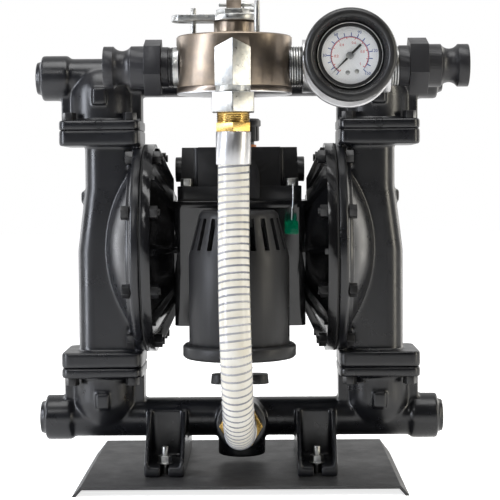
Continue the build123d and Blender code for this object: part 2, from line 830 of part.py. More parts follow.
with BuildPart() as valve_spool:
    along_x(0, spool_z, [(-spool_length / 2, spool_length / 2, spool_waist)])
    for start in (-spool_length / 2, -spool_land / 2, spool_length / 2 - spool_land):
        along_x(0, spool_z, [(start, start + spool_land, spool_radius)])
write(valve_spool, "valve_spool")

with BuildPart() as cover_bolts:
    with BuildSketch(Plane.XY.offset(cover_bottom + cover_flange_height)):
        with GridLocations(2 * cover_bolt_x, 2 * cover_bolt_y, 2, 2):
            hexagon(head_flats)
    extrude(amount=head_height)
    with BuildSketch(Plane.XY.offset(cover_bottom + cover_flange_height)):
        with GridLocations(2 * cover_bolt_x, 2 * cover_bolt_y, 2, 2):
            Circle(cover_shank)
    extrude(amount=-cover_flange_height - gasket_thickness - cover_thread)
write(cover_bolts, "cover_bolts")

# Cap bolts: heads on the cap's disc, nuts behind the housing flange
with BuildPart() as right_cap_bolts:
    nut_back = flange_back - nut_height
    with BuildSketch(pump_plane.offset(cap_disc_x)):
        with PolarLocations(bolt_circle, cap_bolt_count, start_angle=180 / cap_bolt_count):
            hexagon(head_flats)
    extrude(amount=head_height)
    with BuildSketch(pump_plane.offset(nut_back - bolt_end)):
        with PolarLocations(bolt_circle, cap_bolt_count, start_angle=180 / cap_bolt_count):
            Circle(shank_radius)
    extrude(amount=cap_disc_x - nut_back + bolt_end)
    with BuildSketch(pump_plane.offset(nut_back)):
        with PolarLocations(bolt_circle, cap_bolt_count, start_angle=180 / cap_bolt_count):
            hexagon(head_flats)
            Circle(shank_radius + hole_clearance, mode=Mode.SUBTRACT)
    extrude(amount=nut_height)
write(right_cap_bolts, "right_cap_bolts")

with BuildPart() as left_cap_bolts:
    mirror(right_cap_bolts.part, about=Plane.YZ)
write(left_cap_bolts, "left_cap_bolts")

with BuildPart() as upper_manifold_bolts:
    joint_bolts(upper_joint_z, 1)
write(upper_manifold_bolts, "upper_manifold_bolts")

with BuildPart() as lower_manifold_bolts:
    joint_bolts(lower_joint_z, -1)
write(lower_manifold_bolts, "lower_manifold_bolts")

# Foot bolts: studs through the plate, each with a washer and a nut on the pad
with BuildPart() as foot_bolts:
    with BuildSketch(Plane.XY.offset(plate_top - plate_thickness)):
        with GridLocations(2 * foot_x, 2 * stud_y, 2, 2):
            Circle(stud_radius)
    extrude(amount=stud_length)
    with BuildSketch(Plane.XY.offset(pads_top)):
        with GridLocations(2 * foot_x, 2 * stud_y, 2, 2):
            Circle(washer_radius)
            Circle(stud_radius + hole_clearance, mode=Mode.SUBTRACT)
    extrude(amount=washer_thickness)
    with BuildSketch(Plane.XY.offset(pads_top + washer_thickness)):
        with GridLocations(2 * foot_x, 2 * stud_y, 2, 2):
            hexagon(head_flats)
            Circle(stud_radius + hole_clearance, mode=Mode.SUBTRACT)
    extrude(amount=stud_nut)
write(foot_bolts, "foot_bolts")

# Diaphragms, their plates and the rod that joins them
with BuildPart() as diaphragm_rod:
    along_x(0, pump_z, [(-inner_plate_x, inner_plate_x, rod_radius),
                        (-hub_x - diaphragm_hub - outer_plate / 2, hub_x + diaphragm_hub + outer_plate / 2,
                         rod_stud)])
write(diaphragm_rod, "diaphragm_rod")

with BuildPart() as right_diaphragm:
    crown = hub_x + diaphragm_hub + convolution_rise
    with BuildSketch(Plane.XZ):
        with BuildLine():
            Polyline((housing_face, pump_z + disc_radius), (cap_face, pump_z + disc_radius),
                     (cap_face, pump_z + chamber_radius - 1))
            Spline((cap_face, pump_z + chamber_radius - 1), (crown, pump_z + convolution),
                   (hub_x + diaphragm_hub, pump_z + plate_radius + clamp_margin))
            Polyline((hub_x + diaphragm_hub, pump_z + plate_radius + clamp_margin),
                     (hub_x + diaphragm_hub, pump_z + rod_stud + hole_clearance),
                     (hub_x, pump_z + rod_stud + hole_clearance),
                     (hub_x, pump_z + plate_radius + clamp_margin))
            Spline((hub_x, pump_z + plate_radius + clamp_margin),
                   (crown - diaphragm_hub + plate_edge / 2 + 0.5, pump_z + convolution),
                   (housing_face, pump_z + chamber_radius - 1))
            Line((housing_face, pump_z + chamber_radius - 1), (housing_face, pump_z + disc_radius))
        make_face()
    revolve(axis=Axis((0, 0, pump_z), (1, 0, 0)))
    with BuildSketch(pump_plane.offset(housing_face - 1)):
        with PolarLocations(bolt_circle, cap_bolt_count, start_angle=180 / cap_bolt_count):
            Circle(shank_radius + hole_clearance)
    extrude(amount=cap_face - housing_face + 2, mode=Mode.SUBTRACT)
write(right_diaphragm, "right_diaphragm")

with BuildPart() as left_diaphragm:
    mirror(right_diaphragm.part, about=Plane.YZ)
write(left_diaphragm, "left_diaphragm")

with BuildPart() as right_diaphragm_plates:
    outer_x = hub_x + diaphragm_hub
    turned_about_x(pump_z, [(inner_plate_x, rod_stud + hole_clearance),
                            (inner_plate_x, plate_radius - plate_edge),
                            (hub_x - plate_edge, plate_radius), (hub_x, plate_radius),
                            (hub_x, rod_stud + hole_clearance)])
    turned_about_x(pump_z, [(outer_x, rod_stud + hole_clearance), (outer_x, plate_radius),
                            (outer_x + plate_edge, plate_radius), (outer_x + outer_plate, plate_radius / 2),
                            (outer_x + outer_plate, 0), (outer_x + outer_plate / 2 + hole_clearance, 0),
                            (outer_x + outer_plate / 2 + hole_clearance, rod_stud + hole_clearance)])
write(right_diaphragm_plates, "right_diaphragm_plates")

with BuildPart() as left_diaphragm_plates:
    mirror(right_diaphragm_plates.part, about=Plane.YZ)
write(left_diaphragm_plates, "left_diaphragm_plates")

# Check balls on their seats, one pair at each joint
ball_places = {
    "lower_left_ball": (-column_x, lower_joint_z), "lower_right_ball": (column_x, lower_joint_z),
    "upper_left_ball": (-column_x, upper_joint_z), "upper_right_ball": (column_x, upper_joint_z),
}
for ball_name, (ball_x, seat_z) in ball_places.items():
    with BuildPart() as check_ball:
        with Locations((ball_x, 0, seat_z + seat_drop)):
            Sphere(ball_radius)
    write(check_ball, ball_name)

with BuildPart() as ball_seats:
    for ball_x, seat_z in ball_places.values():
        with BuildSketch(Plane.XY.offset(seat_z - seat_height)):
            with Locations((ball_x, 0)):
                Circle(seat_outer)
                Circle(seat_inner, mode=Mode.SUBTRACT)
        extrude(amount=seat_height)
        with BuildSketch(Plane.XY.offset(seat_z - seat_height)):
            with Locations((ball_x, 0)):
                Circle(seat_outer)
                Circle(seat_outer - seal_groove, mode=Mode.SUBTRACT)
        extrude(amount=seal_groove, mode=Mode.SUBTRACT)
write(ball_seats, "ball_seats")

with BuildPart() as seat_seals:
    for ball_x, seat_z in ball_places.values():
        with Locations((ball_x, 0, seat_z - seat_height + seal_groove / 2)):
            Torus(seat_outer - seal_groove / 2, seal_radius)
write(seat_seals, "seat_seals")

# Muffler: a louvred canister on a stub from the housing, its base ring and the wing knob below
with BuildPart() as muffler_canister:
    with BuildSketch(Plane(origin=(0, muffler_y, 0), x_dir=(1, 0, 0), z_dir=(0, -1, 0))):
        with BuildLine():
            Polyline((0, muffler_bottom), (muffler_radius, muffler_bottom),
                     (muffler_radius, muffler_shoulder),
                     (muffler_top_radius + muffler_round, muffler_top - muffler_round),
                     (muffler_top_radius, muffler_top), (0, muffler_top), close=True)
        make_face()
    revolve(axis=muffler_axis)
    with Locations((0, muffler_y / 2 - block_depth / 4, exhaust_z)):
        Cylinder(exhaust_radius, -muffler_y - block_depth / 2, rotation=(90, 0, 0))
    with BuildSketch(Plane(origin=(0, muffler_y, 0), x_dir=(1, 0, 0), z_dir=(0, -1, 0))):
        with BuildLine():
            Polyline((0, muffler_bottom), (muffler_radius - muffler_wall, muffler_bottom),
                     (muffler_radius - muffler_wall, muffler_shoulder - 1),
                     (muffler_top_radius - muffler_wall + 1, muffler_top - muffler_wall),
                     (0, muffler_top - muffler_wall), close=True)
        make_face()
    revolve(axis=muffler_axis, mode=Mode.SUBTRACT)
    with Locations((0, muffler_y, (muffler_shoulder + muffler_top) / 2)):
        with PolarLocations((muffler_radius + muffler_top_radius) / 2, louvre_count):
            Box(louvre_reach, louvre_width, louvre_height, mode=Mode.SUBTRACT)
    for side in (-1, 1):
        with Locations((side * muffler_radius, muffler_y - notch_forward, muffler_bottom + notch_rise)):
            Box(notch_width, notch_width, notch_height, mode=Mode.SUBTRACT)
write(muffler_canister, "muffler_canister")

with BuildPart() as muffler_base:
    with BuildSketch(Plane(origin=(0, muffler_y, 0), x_dir=(1, 0, 0), z_dir=(0, -1, 0))):
        with BuildLine():
            base_top = base_ring_bottom + base_ring_height
            screw_hole = wing_screw + hole_clearance
            ring_seat = muffler_radius + hole_clearance
            ring_inner = base_ring_radius - base_ring_round
            Polyline((screw_hole, base_ring_bottom), (ring_inner, base_ring_bottom),
                     (base_ring_radius, base_ring_bottom + base_ring_round),
                     (base_ring_radius, base_top - base_ring_round), (ring_inner, base_top),
                     (ring_seat, base_top), (ring_seat, muffler_bottom), (screw_hole, muffler_bottom),
                     close=True)
        make_face()
    revolve(axis=muffler_axis)
write(muffler_base, "muffler_base")

with BuildPart() as muffler_knob:
    with BuildSketch(Plane.XY.offset(wing_bottom)):
        with Locations((0, muffler_y)):
            SlotOverall(wing_width, wing_depth)
    extrude(amount=wing_height, taper=wing_taper)
    with BuildSketch(Plane.XY.offset(wing_bottom)):
        for side in (-1, 1):
            with Locations((side * wing_hollow_x, muffler_y)):
                SlotOverall(wing_hollow_length, wing_depth - 2 * wing_rim)
    extrude(amount=wing_height - wing_skin, mode=Mode.SUBTRACT)
    with BuildSketch(Plane.XY.offset(wing_bottom)):
        with Locations((0, muffler_y)):
            Circle(wing_hub)
    extrude(amount=base_ring_bottom - wing_bottom - wing_gap)
    with BuildSketch(Plane.XY.offset(wing_bottom + wing_height)):
        with Locations((0, muffler_y)):
            Circle(wing_screw)
    extrude(amount=muffler_bottom - wing_bottom - wing_height - wing_screw_gap)
write(muffler_knob, "muffler_knob")

# Selector valve: a round body with four spot-faced ports round a turning core
with BuildPart() as selector_body:
    with BuildSketch(Plane.XY.offset(valve_bottom + bottom_plate)):
        with Locations((valve_x, valve_y)):
            Circle(valve_radius)
    extrude(amount=valve_top - valve_bottom - bottom_plate)
    chamfer(selector_body.edges().sort_by(Axis.Z)[-1], valve_edge)
    with BuildSketch(Plane.XY.offset(valve_bottom + bottom_plate)):
        with Locations((valve_x, valve_y)):
            Circle(rotor_radius + running_gap)
    extrude(amount=rotor_top + rotor_gap - rotor_bottom, mode=Mode.SUBTRACT)
    with BuildSketch(Plane.XY.offset(rotor_top)):
        with Locations((valve_x, valve_y)):
            Circle(stem_radius + running_gap)
    extrude(amount=valve_top - rotor_top, mode=Mode.SUBTRACT)
    for angle, bore in ((0, thread_1in), (90, thread_34in), (180, thread_1in), (270, thread_34in)):
        out = (math.cos(math.radians(angle)), math.sin(math.radians(angle)), 0)
        port = Plane(origin=(valve_x, valve_y, port_z), x_dir=(0, 0, 1), z_dir=out)
        with BuildSketch(port.offset(valve_radius - spot_depth)):
            Circle(spot_radius)
        extrude(amount=2 * spot_depth, mode=Mode.SUBTRACT)
        with BuildSketch(port.offset(valve_radius - spot_depth)):
            Circle(bore + hole_clearance)
        extrude(amount=-thread_depth, mode=Mode.SUBTRACT)
        with BuildSketch(port.offset(valve_radius - spot_depth)):
            Circle(pipe_bore - 2)
        extrude(amount=spot_depth - valve_radius + rotor_radius / 2, mode=Mode.SUBTRACT)
    for x, y in (stop_left, stop_right):
        with BuildSketch(Plane.XY.offset(valve_top)):
            with Locations((valve_x + x, valve_y + y)):
                Circle(stop_radius + hole_clearance)
        extrude(amount=-stop_depth, mode=Mode.SUBTRACT)
write(selector_body, "selector_body")

with BuildPart() as selector_bottom_plate:
    with BuildSketch(Plane.XY.offset(valve_bottom)):
        with Locations((valve_x, valve_y)):
            Circle(valve_radius)
    extrude(amount=bottom_plate)
write(selector_bottom_plate, "selector_bottom_plate")

with BuildPart() as selector_rotor:
    with BuildSketch(Plane.XY.offset(rotor_bottom)):
        with Locations((valve_x, valve_y)):
            Circle(rotor_radius)
    extrude(amount=rotor_top - rotor_bottom)
    with BuildSketch(Plane(origin=(valve_x, valve_y, port_z), x_dir=(0, 0, 1), z_dir=(0, 1, 0))):
        Circle(pipe_bore - 2)
    extrude(amount=rotor_radius + 1, mode=Mode.SUBTRACT)
    with BuildSketch(Plane(origin=(valve_x, valve_y, port_z), x_dir=(0, 0, 1), z_dir=(-1, 0, 0))):
        Circle(pipe_bore - 2)
    extrude(amount=rotor_radius + 1, mode=Mode.SUBTRACT)
write(selector_rotor, "selector_rotor")

with BuildPart() as selector_stem:
    with BuildSketch(Plane.XY.offset(rotor_top)):
        with Locations((valve_x, valve_y)):
            Circle(stem_radius)
    extrude(amount=lever_top + lever_nut_height - rotor_top)
    with BuildSketch(Plane.XY.offset(lever_top + lever_nut_height)):
        with Locations((valve_x, valve_y)):
            Rectangle(post_side, post_side)
    extrude(amount=post_top - lever_top - lever_nut_height)
    with BuildSketch(Plane(origin=(valve_x - post_side, valve_y, pin_hole_z),
                           x_dir=(0, 1, 0), z_dir=(1, 0, 0))):
        Circle(hitch_radius + hole_clearance)
    extrude(amount=2 * post_side, mode=Mode.SUBTRACT)
write(selector_stem, "selector_stem")

with BuildPart() as selector_gland:
    with BuildSketch(Plane.XY.offset(valve_top)):
        with Locations((valve_x, valve_y)):
            Circle(gland_radius + gland_lip)
            Circle(stem_radius + running_gap, mode=Mode.SUBTRACT)
    extrude(amount=gland_ring)
    with BuildSketch(Plane.XY.offset(valve_top + gland_ring)):
        with Locations((valve_x, valve_y)):
            Circle(gland_radius)
            Circle(stem_radius + running_gap, mode=Mode.SUBTRACT)
    extrude(amount=gland_height - gland_ring - gland_gap)
write(selector_gland, "selector_gland")

# Lever plate: a round hub with one long arm, turned by the stem and stopped by two pins
with BuildPart() as lever_plate:
    with BuildSketch(Plane.XY.offset(gland_top)):
        with Locations((valve_x, valve_y)):
            Circle(lever_hub)
        with BuildLine():
            back = valve_x - lever_tip
            nose_x = back + lever_nose
            Line((valve_x, valve_y + lever_half_width), (nose_x, valve_y + lever_tip_half))
            ThreePointArc((nose_x, valve_y + lever_tip_half), (back, valve_y),
                          (nose_x, valve_y - lever_tip_half))
            Line((nose_x, valve_y - lever_tip_half), (valve_x, valve_y - lever_half_width))
            Line((valve_x, valve_y - lever_half_width), (valve_x, valve_y + lever_half_width))
        make_face()
        with Locations((valve_x, valve_y)):
            Circle(stem_radius + hole_clearance, mode=Mode.SUBTRACT)
        with Locations((valve_x - lever_tip + lever_hole_in, valve_y)):
            Circle(lever_hole, mode=Mode.SUBTRACT)
    extrude(amount=lever_thickness)
write(lever_plate, "lever_plate")

with BuildPart() as lever_nut:
    with BuildSketch(Plane.XY.offset(lever_top)):
        with Locations((valve_x, valve_y)):
            hexagon(lever_nut_flats)
            Circle(stem_radius + hole_clearance, mode=Mode.SUBTRACT)
    extrude(amount=lever_nut_height)
write(lever_nut, "lever_nut")

with BuildPart() as hitch_pin:
    loop_x = valve_x + post_side / 2 + hitch_loop_gap
    along_x(valve_y, pin_hole_z, [(valve_x - hitch_length / 2, valve_x + hitch_length / 2, hitch_radius),
                                  (loop_x, loop_x + hitch_loop, hitch_radius * 2)])
write(hitch_pin, "hitch_pin")

with BuildPart() as stop_pins:
    for x, y in (stop_left, stop_right):
        with BuildSketch(Plane.XY.offset(valve_top - stop_depth)):
            with Locations((valve_x + x, valve_y + y)):
                Circle(stop_radius)
        extrude(amount=stop_top - valve_top + stop_depth)
        with BuildSketch(Plane.XY.offset(stop_top)):
            with Locations((valve_x + x, valve_y + y)):
                Rectangle(3 * stop_radius, stop_slot_width)
        extrude(amount=-stop_slot_depth, mode=Mode.SUBTRACT)
write(stop_pins, "stop_pins")


def camlock(steps):
    """A camlock adapter from its lip inwards: lip, coved groove, ring, hexagon and collar."""
    lip, groove, ring, hexa, collar, end = steps
    along_x(valve_y, port_z, [(lip, groove, camlock_lip), (ring, hexa, camlock_ring),
                              (collar, end, camlock_collar)])
    with BuildSketch(Plane.XZ.offset(-valve_y)) as profile:
        with BuildLine():
            Polyline((groove, port_z + camlock_lip), (groove, port_z), (ring, port_z),
                     (ring, port_z + camlock_ring))
            ThreePointArc((ring, port_z + camlock_ring), ((groove + ring) / 2, port_z + camlock_groove),
                          (groove, port_z + camlock_lip))
        make_face()
    revolve(profile.sketch, axis=Axis((0, valve_y, port_z), (1, 0, 0)))
    with BuildSketch(Plane(origin=(hexa, valve_y, port_z), x_dir=(0, 1, 0), z_dir=(1, 0, 0))) as profile:
        with Locations(Rotation(0, 0, hex_turn)):
            hexagon(camlock_flats)
    extrude(profile.sketch, amount=collar - hexa)


def bore_x(start, end, radius):
    """Cuts a round bore along X on the pipework's line."""
    with BuildSketch(Plane(origin=(start, valve_y, port_z), x_dir=(0, 1, 0), z_dir=(1, 0, 0))) as profile:
        Circle(radius)
    extrude(profile.sketch, amount=end - start, mode=Mode.SUBTRACT)


with BuildPart() as left_camlock:
    camlock(left_camlock_x)
    along_x(valve_y, port_z, [(left_camlock_x[5], left_port_x + thread_depth, thread_1in)])
    bore_x(left_camlock_x[0] - 1, left_port_x + thread_depth + 1, flow_radius)
write(left_camlock, "left_camlock")

with BuildPart() as right_camlock:
    camlock(right_camlock_x)
    bore_x(right_camlock_x[5], right_camlock_x[5] + thread_depth, thread_1in + hole_clearance)
    bore_x(right_camlock_x[5] - 1, right_camlock_x[0] + 1, flow_radius)
write(right_camlock, "right_camlock")

# Nipples: valve to tee, tee to camlock, manifold to valve, and regulator to cover
with BuildPart() as pipe_nipples:
    along_x(valve_y, port_z, [(right_port_x - thread_depth, tee_left + tee_thread, thread_1in),
                              (tee_right - tee_thread, right_camlock_x[5] + thread_depth, thread_1in)])
    bore_x(right_port_x - thread_depth - 1, tee_left + tee_thread + 1, flow_radius)
    bore_x(tee_right - tee_thread - 1, right_camlock_x[5] + thread_depth + 1, flow_radius)
    boss_front = -(port_boss_front - thread_depth)
    for x, z, radius, back, front in (
            (valve_x, port_z, thread_34in, boss_front + thread_depth, rear_port_y - thread_depth),
            (0, spool_z, air_nipple_radius, regulator_y - regulator_side / 2 + thread_depth,
             cover_depth / 2 - nipple_depth)):
        with BuildSketch(Plane.XZ.offset(-back)):
            with Locations((x, z)):
                Circle(radius)
                Circle(radius - nipple_wall, mode=Mode.SUBTRACT)
        extrude(amount=back - front)
write(pipe_nipples, "pipe_nipples")

with BuildPart() as gauge_tee:
    along_x(valve_y, port_z, [(tee_left, tee_left + tee_band, tee_radius),
                              (tee_left + tee_band, tee_right - tee_band, tee_radius - tee_band_rise),
                              (tee_right - tee_band, tee_right, tee_radius)])
    with BuildSketch(Plane.XZ.offset(-valve_y)):
        with Locations((gauge_x, port_z)):
            Circle(tee_branch)
    extrude(amount=valve_y - isolator_front - isolator_thickness)
    bore_x(tee_left - 1, tee_right + 1, flow_radius)
    bore_x(tee_left - 1, tee_left + tee_thread, thread_1in + hole_clearance)
    bore_x(tee_right - tee_thread, tee_right + 1, thread_1in + hole_clearance)
write(gauge_tee, "gauge_tee")

# Gauge: isolator disc, case, dial, needle and lens inside a rubber boot
with BuildPart() as gauge_isolator:
    with BuildSketch(Plane.XZ.offset(-isolator_front - isolator_thickness)):
        with Locations((gauge_x, isolator_z)):
            Circle(isolator_radius)
    extrude(amount=isolator_thickness)
    chamfer(gauge_isolator.edges().filter_by(GeomType.CIRCLE), isolator_edge)
write(gauge_isolator, "gauge_isolator")

gauge_axis = Axis((gauge_x, 0, gauge_z), (0, 1, 0))
case_wall_radius = dial_radius + hole_clearance
with BuildPart() as gauge_case:
    with BuildSketch(Plane.XY.offset(gauge_z)):
        with BuildLine():
            Polyline((gauge_x, isolator_front), (gauge_x + case_stem, isolator_front),
                     (gauge_x + case_stem, case_back), (gauge_x + case_radius, case_back),
                     (gauge_x + case_radius, case_front + case_lip),
                     (gauge_x + case_radius - case_lip, case_front),
                     (gauge_x + dial_radius - case_lip, case_front),
                     (gauge_x + dial_radius - case_lip, lens_y - lens_thickness),
                     (gauge_x + case_wall_radius, lens_y - lens_thickness),
                     (gauge_x + case_wall_radius, dial_y + dial_thickness),
                     (gauge_x, dial_y + dial_thickness), close=True)
        make_face()
    revolve(axis=gauge_axis)
write(gauge_case, "gauge_case")

with BuildPart() as gauge_dial:
    with BuildSketch(Plane.XZ.offset(-dial_y - dial_thickness)):
        with Locations((gauge_x, gauge_z)):
            Circle(dial_radius)
            Circle(needle_pivot + running_gap, mode=Mode.SUBTRACT)
    extrude(amount=dial_thickness)
write(gauge_dial, "gauge_dial")

with BuildPart() as gauge_needle:
    rest = math.radians(needle_rest)
    tip_x, tip_z = needle_length * math.cos(rest), needle_length * math.sin(rest)
    side_x, side_z = -needle_half * math.sin(rest), needle_half * math.cos(rest)
    tail_x, tail_z = -needle_tail / 2 * math.cos(rest), -needle_tail / 2 * math.sin(rest)
    with BuildSketch(Plane.XZ.offset(-dial_y + needle_gap)):
        with Locations((gauge_x, gauge_z)):
            Circle(needle_hub)
        with BuildLine():
            Polyline((gauge_x + side_x, gauge_z + side_z), (gauge_x + tip_x, gauge_z + tip_z),
                     (gauge_x - side_x, gauge_z - side_z), close=True)
        make_face()
        with Locations((gauge_x + tail_x, gauge_z + tail_z)):
            Rectangle(needle_tail, 2 * needle_half, rotation=needle_rest)
    extrude(amount=needle_thickness)
    with BuildSketch(Plane.XZ.offset(-dial_y - dial_thickness)):
        with Locations((gauge_x, gauge_z)):
            Circle(needle_pivot)
    extrude(amount=dial_thickness + needle_gap)
write(gauge_needle, "gauge_needle")

with BuildPart() as gauge_lens:
    with BuildSketch(Plane.XZ.offset(-lens_y)):
        with Locations((gauge_x, gauge_z)):
            Circle(dial_radius)
    extrude(amount=lens_thickness)
write(gauge_lens, "gauge_lens")

with BuildPart() as gauge_boot:
    with BuildSketch(Plane.XY.offset(gauge_z)):
        with BuildLine():
            seat_radius = case_radius + hole_clearance
            foot_out, foot_up = boot_foot
            rim_near, rim_mid, rim_far = boot_rim
            rim_x = gauge_x + boot_front_radius
            Polyline((gauge_x + seat_radius, isolator_front), (gauge_x + boot_back_radius, isolator_front),
                     (gauge_x + boot_back_radius + foot_out, isolator_front - foot_up),
                     (rim_x, boot_front + rim_far), (rim_x - rim_near, boot_front + rim_near),
                     (rim_x - rim_mid, boot_front), (gauge_x + boot_mouth, boot_front),
                     (gauge_x + seat_radius, case_front + case_gap), close=True)
        make_face()
    revolve(axis=gauge_axis)
write(gauge_boot, "gauge_boot")

# Elbow: a gabled hexagonal block on a threaded neck, with its collar below
with BuildPart() as elbow:
    with BuildSketch(Plane.XY.offset(elbow_bottom)):
        with Locations(Location((valve_x, elbow_y, 0), (0, 0, 90))):
            hexagon(elbow_flats)
    extrude(amount=elbow_apex - elbow_bottom)
    with BuildSketch(Plane.XZ.offset(-elbow_y - elbow_flats)):
        with BuildLine():
            half = elbow_flats / 2
            Polyline((valve_x - half, elbow_bottom), (valve_x + half, elbow_bottom),
                     (valve_x + half, elbow_shoulder), (valve_x, elbow_apex),
                     (valve_x - half, elbow_shoulder), close=True)
        make_face()
    extrude(amount=2 * elbow_flats, mode=Mode.INTERSECT)
    port_threads(valve_x, front_port_y, elbow_y, collar_radius, port_z)
    port_threads(valve_x, front_port_y + thread_depth, front_port_y, thread_34in, port_z)
    with BuildSketch(Plane.XY.offset(collar_bottom)):
        with Locations((valve_x, elbow_y)):
            Circle(collar_radius)
    extrude(amount=elbow_bottom - collar_bottom)
write(elbow, "elbow")


def turned_hexagon(bottom, top, flats):
    """A hexagonal prism on the hose's upper line, with a corner to the front."""
    with BuildSketch(Plane.XY.offset(bottom)) as profile:
        with Locations(Location((valve_x, elbow_y, 0), (0, 0, 90))):
            hexagon(flats)
    extrude(profile.sketch, amount=top - bottom)


with BuildPart() as swivel_nut:
    turned_hexagon(nut_bottom, collar_bottom, swivel_flats)
    with BuildSketch(Plane.XY.offset(nut_bottom)):
        with Locations((valve_x, elbow_y)):
            Circle(upper_thread_radius + hole_clearance)
    extrude(amount=nut_thread, mode=Mode.SUBTRACT)
write(swivel_nut, "swivel_nut")

with BuildPart() as upper_hose_fitting:
    for bottom, top, radius in ((upper_hex_top, nut_bottom + nut_thread, upper_thread_radius),
                                (hose_top, upper_hex_bottom, barb_radius)):
        with BuildSketch(Plane.XY.offset(bottom)):
            with Locations((valve_x, elbow_y)):
                Circle(radius)
        extrude(amount=top - bottom)
    turned_hexagon(upper_hex_bottom, upper_hex_top, upper_hex_flats)
write(upper_hose_fitting, "upper_hose_fitting")

with BuildPart() as lower_hose_fitting:
    port_threads(0, boss_face + thread_depth, boss_face - lower_gap, thread_34in, hose_port_z)
    port_threads(0, fitting_front, lower_ferrule_front, barb_radius, hose_port_z)
    with BuildSketch(Plane.XZ.offset(-boss_face + lower_gap)):
        with Locations((0, hose_port_z)):
            hexagon(lower_hex_flats)
    extrude(amount=lower_hex_length)
write(lower_hose_fitting, "lower_hose_fitting")

with BuildPart() as hose_ferrules:
    with BuildSketch(Plane.XY.offset(hose_top)):
        with Locations((valve_x, elbow_y)):
            Circle(ferrule_radius)
            Circle(barb_radius, mode=Mode.SUBTRACT)
    extrude(amount=upper_hex_bottom - hose_top)
    with BuildSketch(Plane.XZ.offset(-fitting_front)):
        with Locations((0, hose_port_z)):
            Circle(ferrule_radius)
            Circle(barb_radius, mode=Mode.SUBTRACT)
    extrude(amount=fitting_front - lower_ferrule_front)
write(hose_ferrules, "hose_ferrules")

# Hose: a round tube along runs joined by tangent arcs, each as large as its two runs allow
hose_radii = []
for before, corner, after in zip(hose_points, hose_points[1:], hose_points[2:]):
    first, second = Vector(*corner) - Vector(*before), Vector(*after) - Vector(*corner)
    turn = math.radians(first.get_angle(second))
    hose_radii.append(0.45 * min(first.length, second.length) / math.tan(turn / 2))
print("hose bend radii", [round(radius) for radius in hose_radii])
with BuildPart() as hose:
    with BuildLine() as hose_line:
        FilletPolyline(*hose_points, radius=hose_radii)
    hose_path = hose_line.wires()[0]
    with BuildSketch(Plane(origin=hose_path @ 0, z_dir=hose_path % 0)):
        Circle(hose_radius)
        Circle(hose_bore, mode=Mode.SUBTRACT)
    sweep()
hose_ring = math.pi * (hose_radius**2 - hose_bore**2)
print("hose length", round(hose_path.length, 1),
      "volume ratio", round(hose.part.volume / (hose_ring * hose_path.length), 4))
write(hose, "hose")

# Air regulator: body, neck ring and knob
with BuildPart() as regulator_body:
    with BuildSketch(Plane.XY.offset(regulator_bottom)):
        with Locations((0, regulator_y)):
            RectangleRounded(regulator_side, regulator_side, regulator_corner)
    extrude(amount=regulator_shoulder - regulator_bottom)
    with BuildSketch(Plane.XY.offset(regulator_shoulder)):
        with Locations((0, regulator_y)):
            Circle(regulator_neck)
    extrude(amount=knob_bottom - regulator_shoulder + knob_seat)
    with BuildSketch(Plane(origin=(0, regulator_y - regulator_side / 2, spool_z), x_dir=(1, 0, 0),
                           z_dir=(0, 1, 0))):
        Circle(air_nipple_radius + hole_clearance)
    extrude(amount=thread_depth, mode=Mode.SUBTRACT)
    with BuildSketch(Plane(origin=(-regulator_side / 2, regulator_y, spool_z), x_dir=(0, 1, 0),
                           z_dir=(1, 0, 0))):
        Circle(inlet_radius)
    extrude(amount=inlet_depth, mode=Mode.SUBTRACT)
write(regulator_body, "regulator_body")

with BuildPart() as regulator_ring:
    with BuildSketch(Plane.XY.offset(regulator_shoulder)):
        with Locations((0, regulator_y)):
            Circle(regulator_neck + ring_lip)
            Circle(regulator_neck, mode=Mode.SUBTRACT)
    extrude(amount=ring_height)
write(regulator_ring, "regulator_ring")

with BuildPart() as regulator_knob:
    with BuildSketch(Plane(origin=(0, regulator_y, 0), x_dir=(1, 0, 0), z_dir=(0, -1, 0))):
        with BuildLine():
            cavity = regulator_neck + running_gap
            cavity_top = knob_bottom + knob_seat + knob_clear
            band_bottom = knob_top - knob_band
            half_round = knob_round / 2
            Polyline((cavity, knob_bottom), (knob_radius - half_round, knob_bottom),
                     (knob_radius, knob_bottom + half_round), (knob_radius, band_bottom),
                     (knob_band_radius, band_bottom + half_round),
                     (knob_band_radius, knob_top - knob_round), (knob_band_radius - knob_round, knob_top),
                     (0, knob_top), (0, cavity_top), (cavity, cavity_top), close=True)
        make_face()
    revolve(axis=Axis((0, regulator_y, 0), (0, 0, 1)))
    with BuildSketch(Plane.XY.offset(knob_bottom)):
        with Locations((0, regulator_y)):
            with PolarLocations(knob_radius + groove_out, knob_grooves):
                Circle(groove_radius)
    extrude(amount=band_bottom - knob_bottom, mode=Mode.SUBTRACT)
write(regulator_knob, "regulator_knob")

# Seal: a moulded tag on a loop of wire from the cover's right front bolt
with BuildPart() as seal_tag:
    with BuildSketch(Plane.XZ.offset(-tag_y)):
        with Locations((tag_x, tag_z)):
            RectangleRounded(tag_side, tag_side, tag_corner)
            with Locations((0, tag_side / 2 - tag_hole_in)):
                Circle(wire_radius + tag_hole_gap, mode=Mode.SUBTRACT)
    extrude(amount=tag_thickness)
write(seal_tag, "seal_tag")

with BuildPart() as seal_wire:
    wire_top = cover_bottom + cover_flange_height + wire_radius
    with BuildLine() as wire_line:
        wire_x = cover_bolt_x + 1
        FilletPolyline((cover_bolt_x, -cover_bolt_y - head_flats / 2 - wire_radius, wire_top + wire_rise),
                       (wire_x, tag_y + wire_reach, wire_top + wire_rise),
                       (wire_x, tag_y + wire_reach / 2, wire_top - wire_fall),
                       (tag_x, tag_y - tag_thickness / 2, tag_z + tag_side / 2 + wire_radius),
                       radius=wire_bend)
    wire_path = wire_line.wires()[0]
    with BuildSketch(Plane(origin=wire_path @ 0, z_dir=wire_path % 0)):
        Circle(wire_radius)
    sweep()
write(seal_wire, "seal_wire")
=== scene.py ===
import json
import math

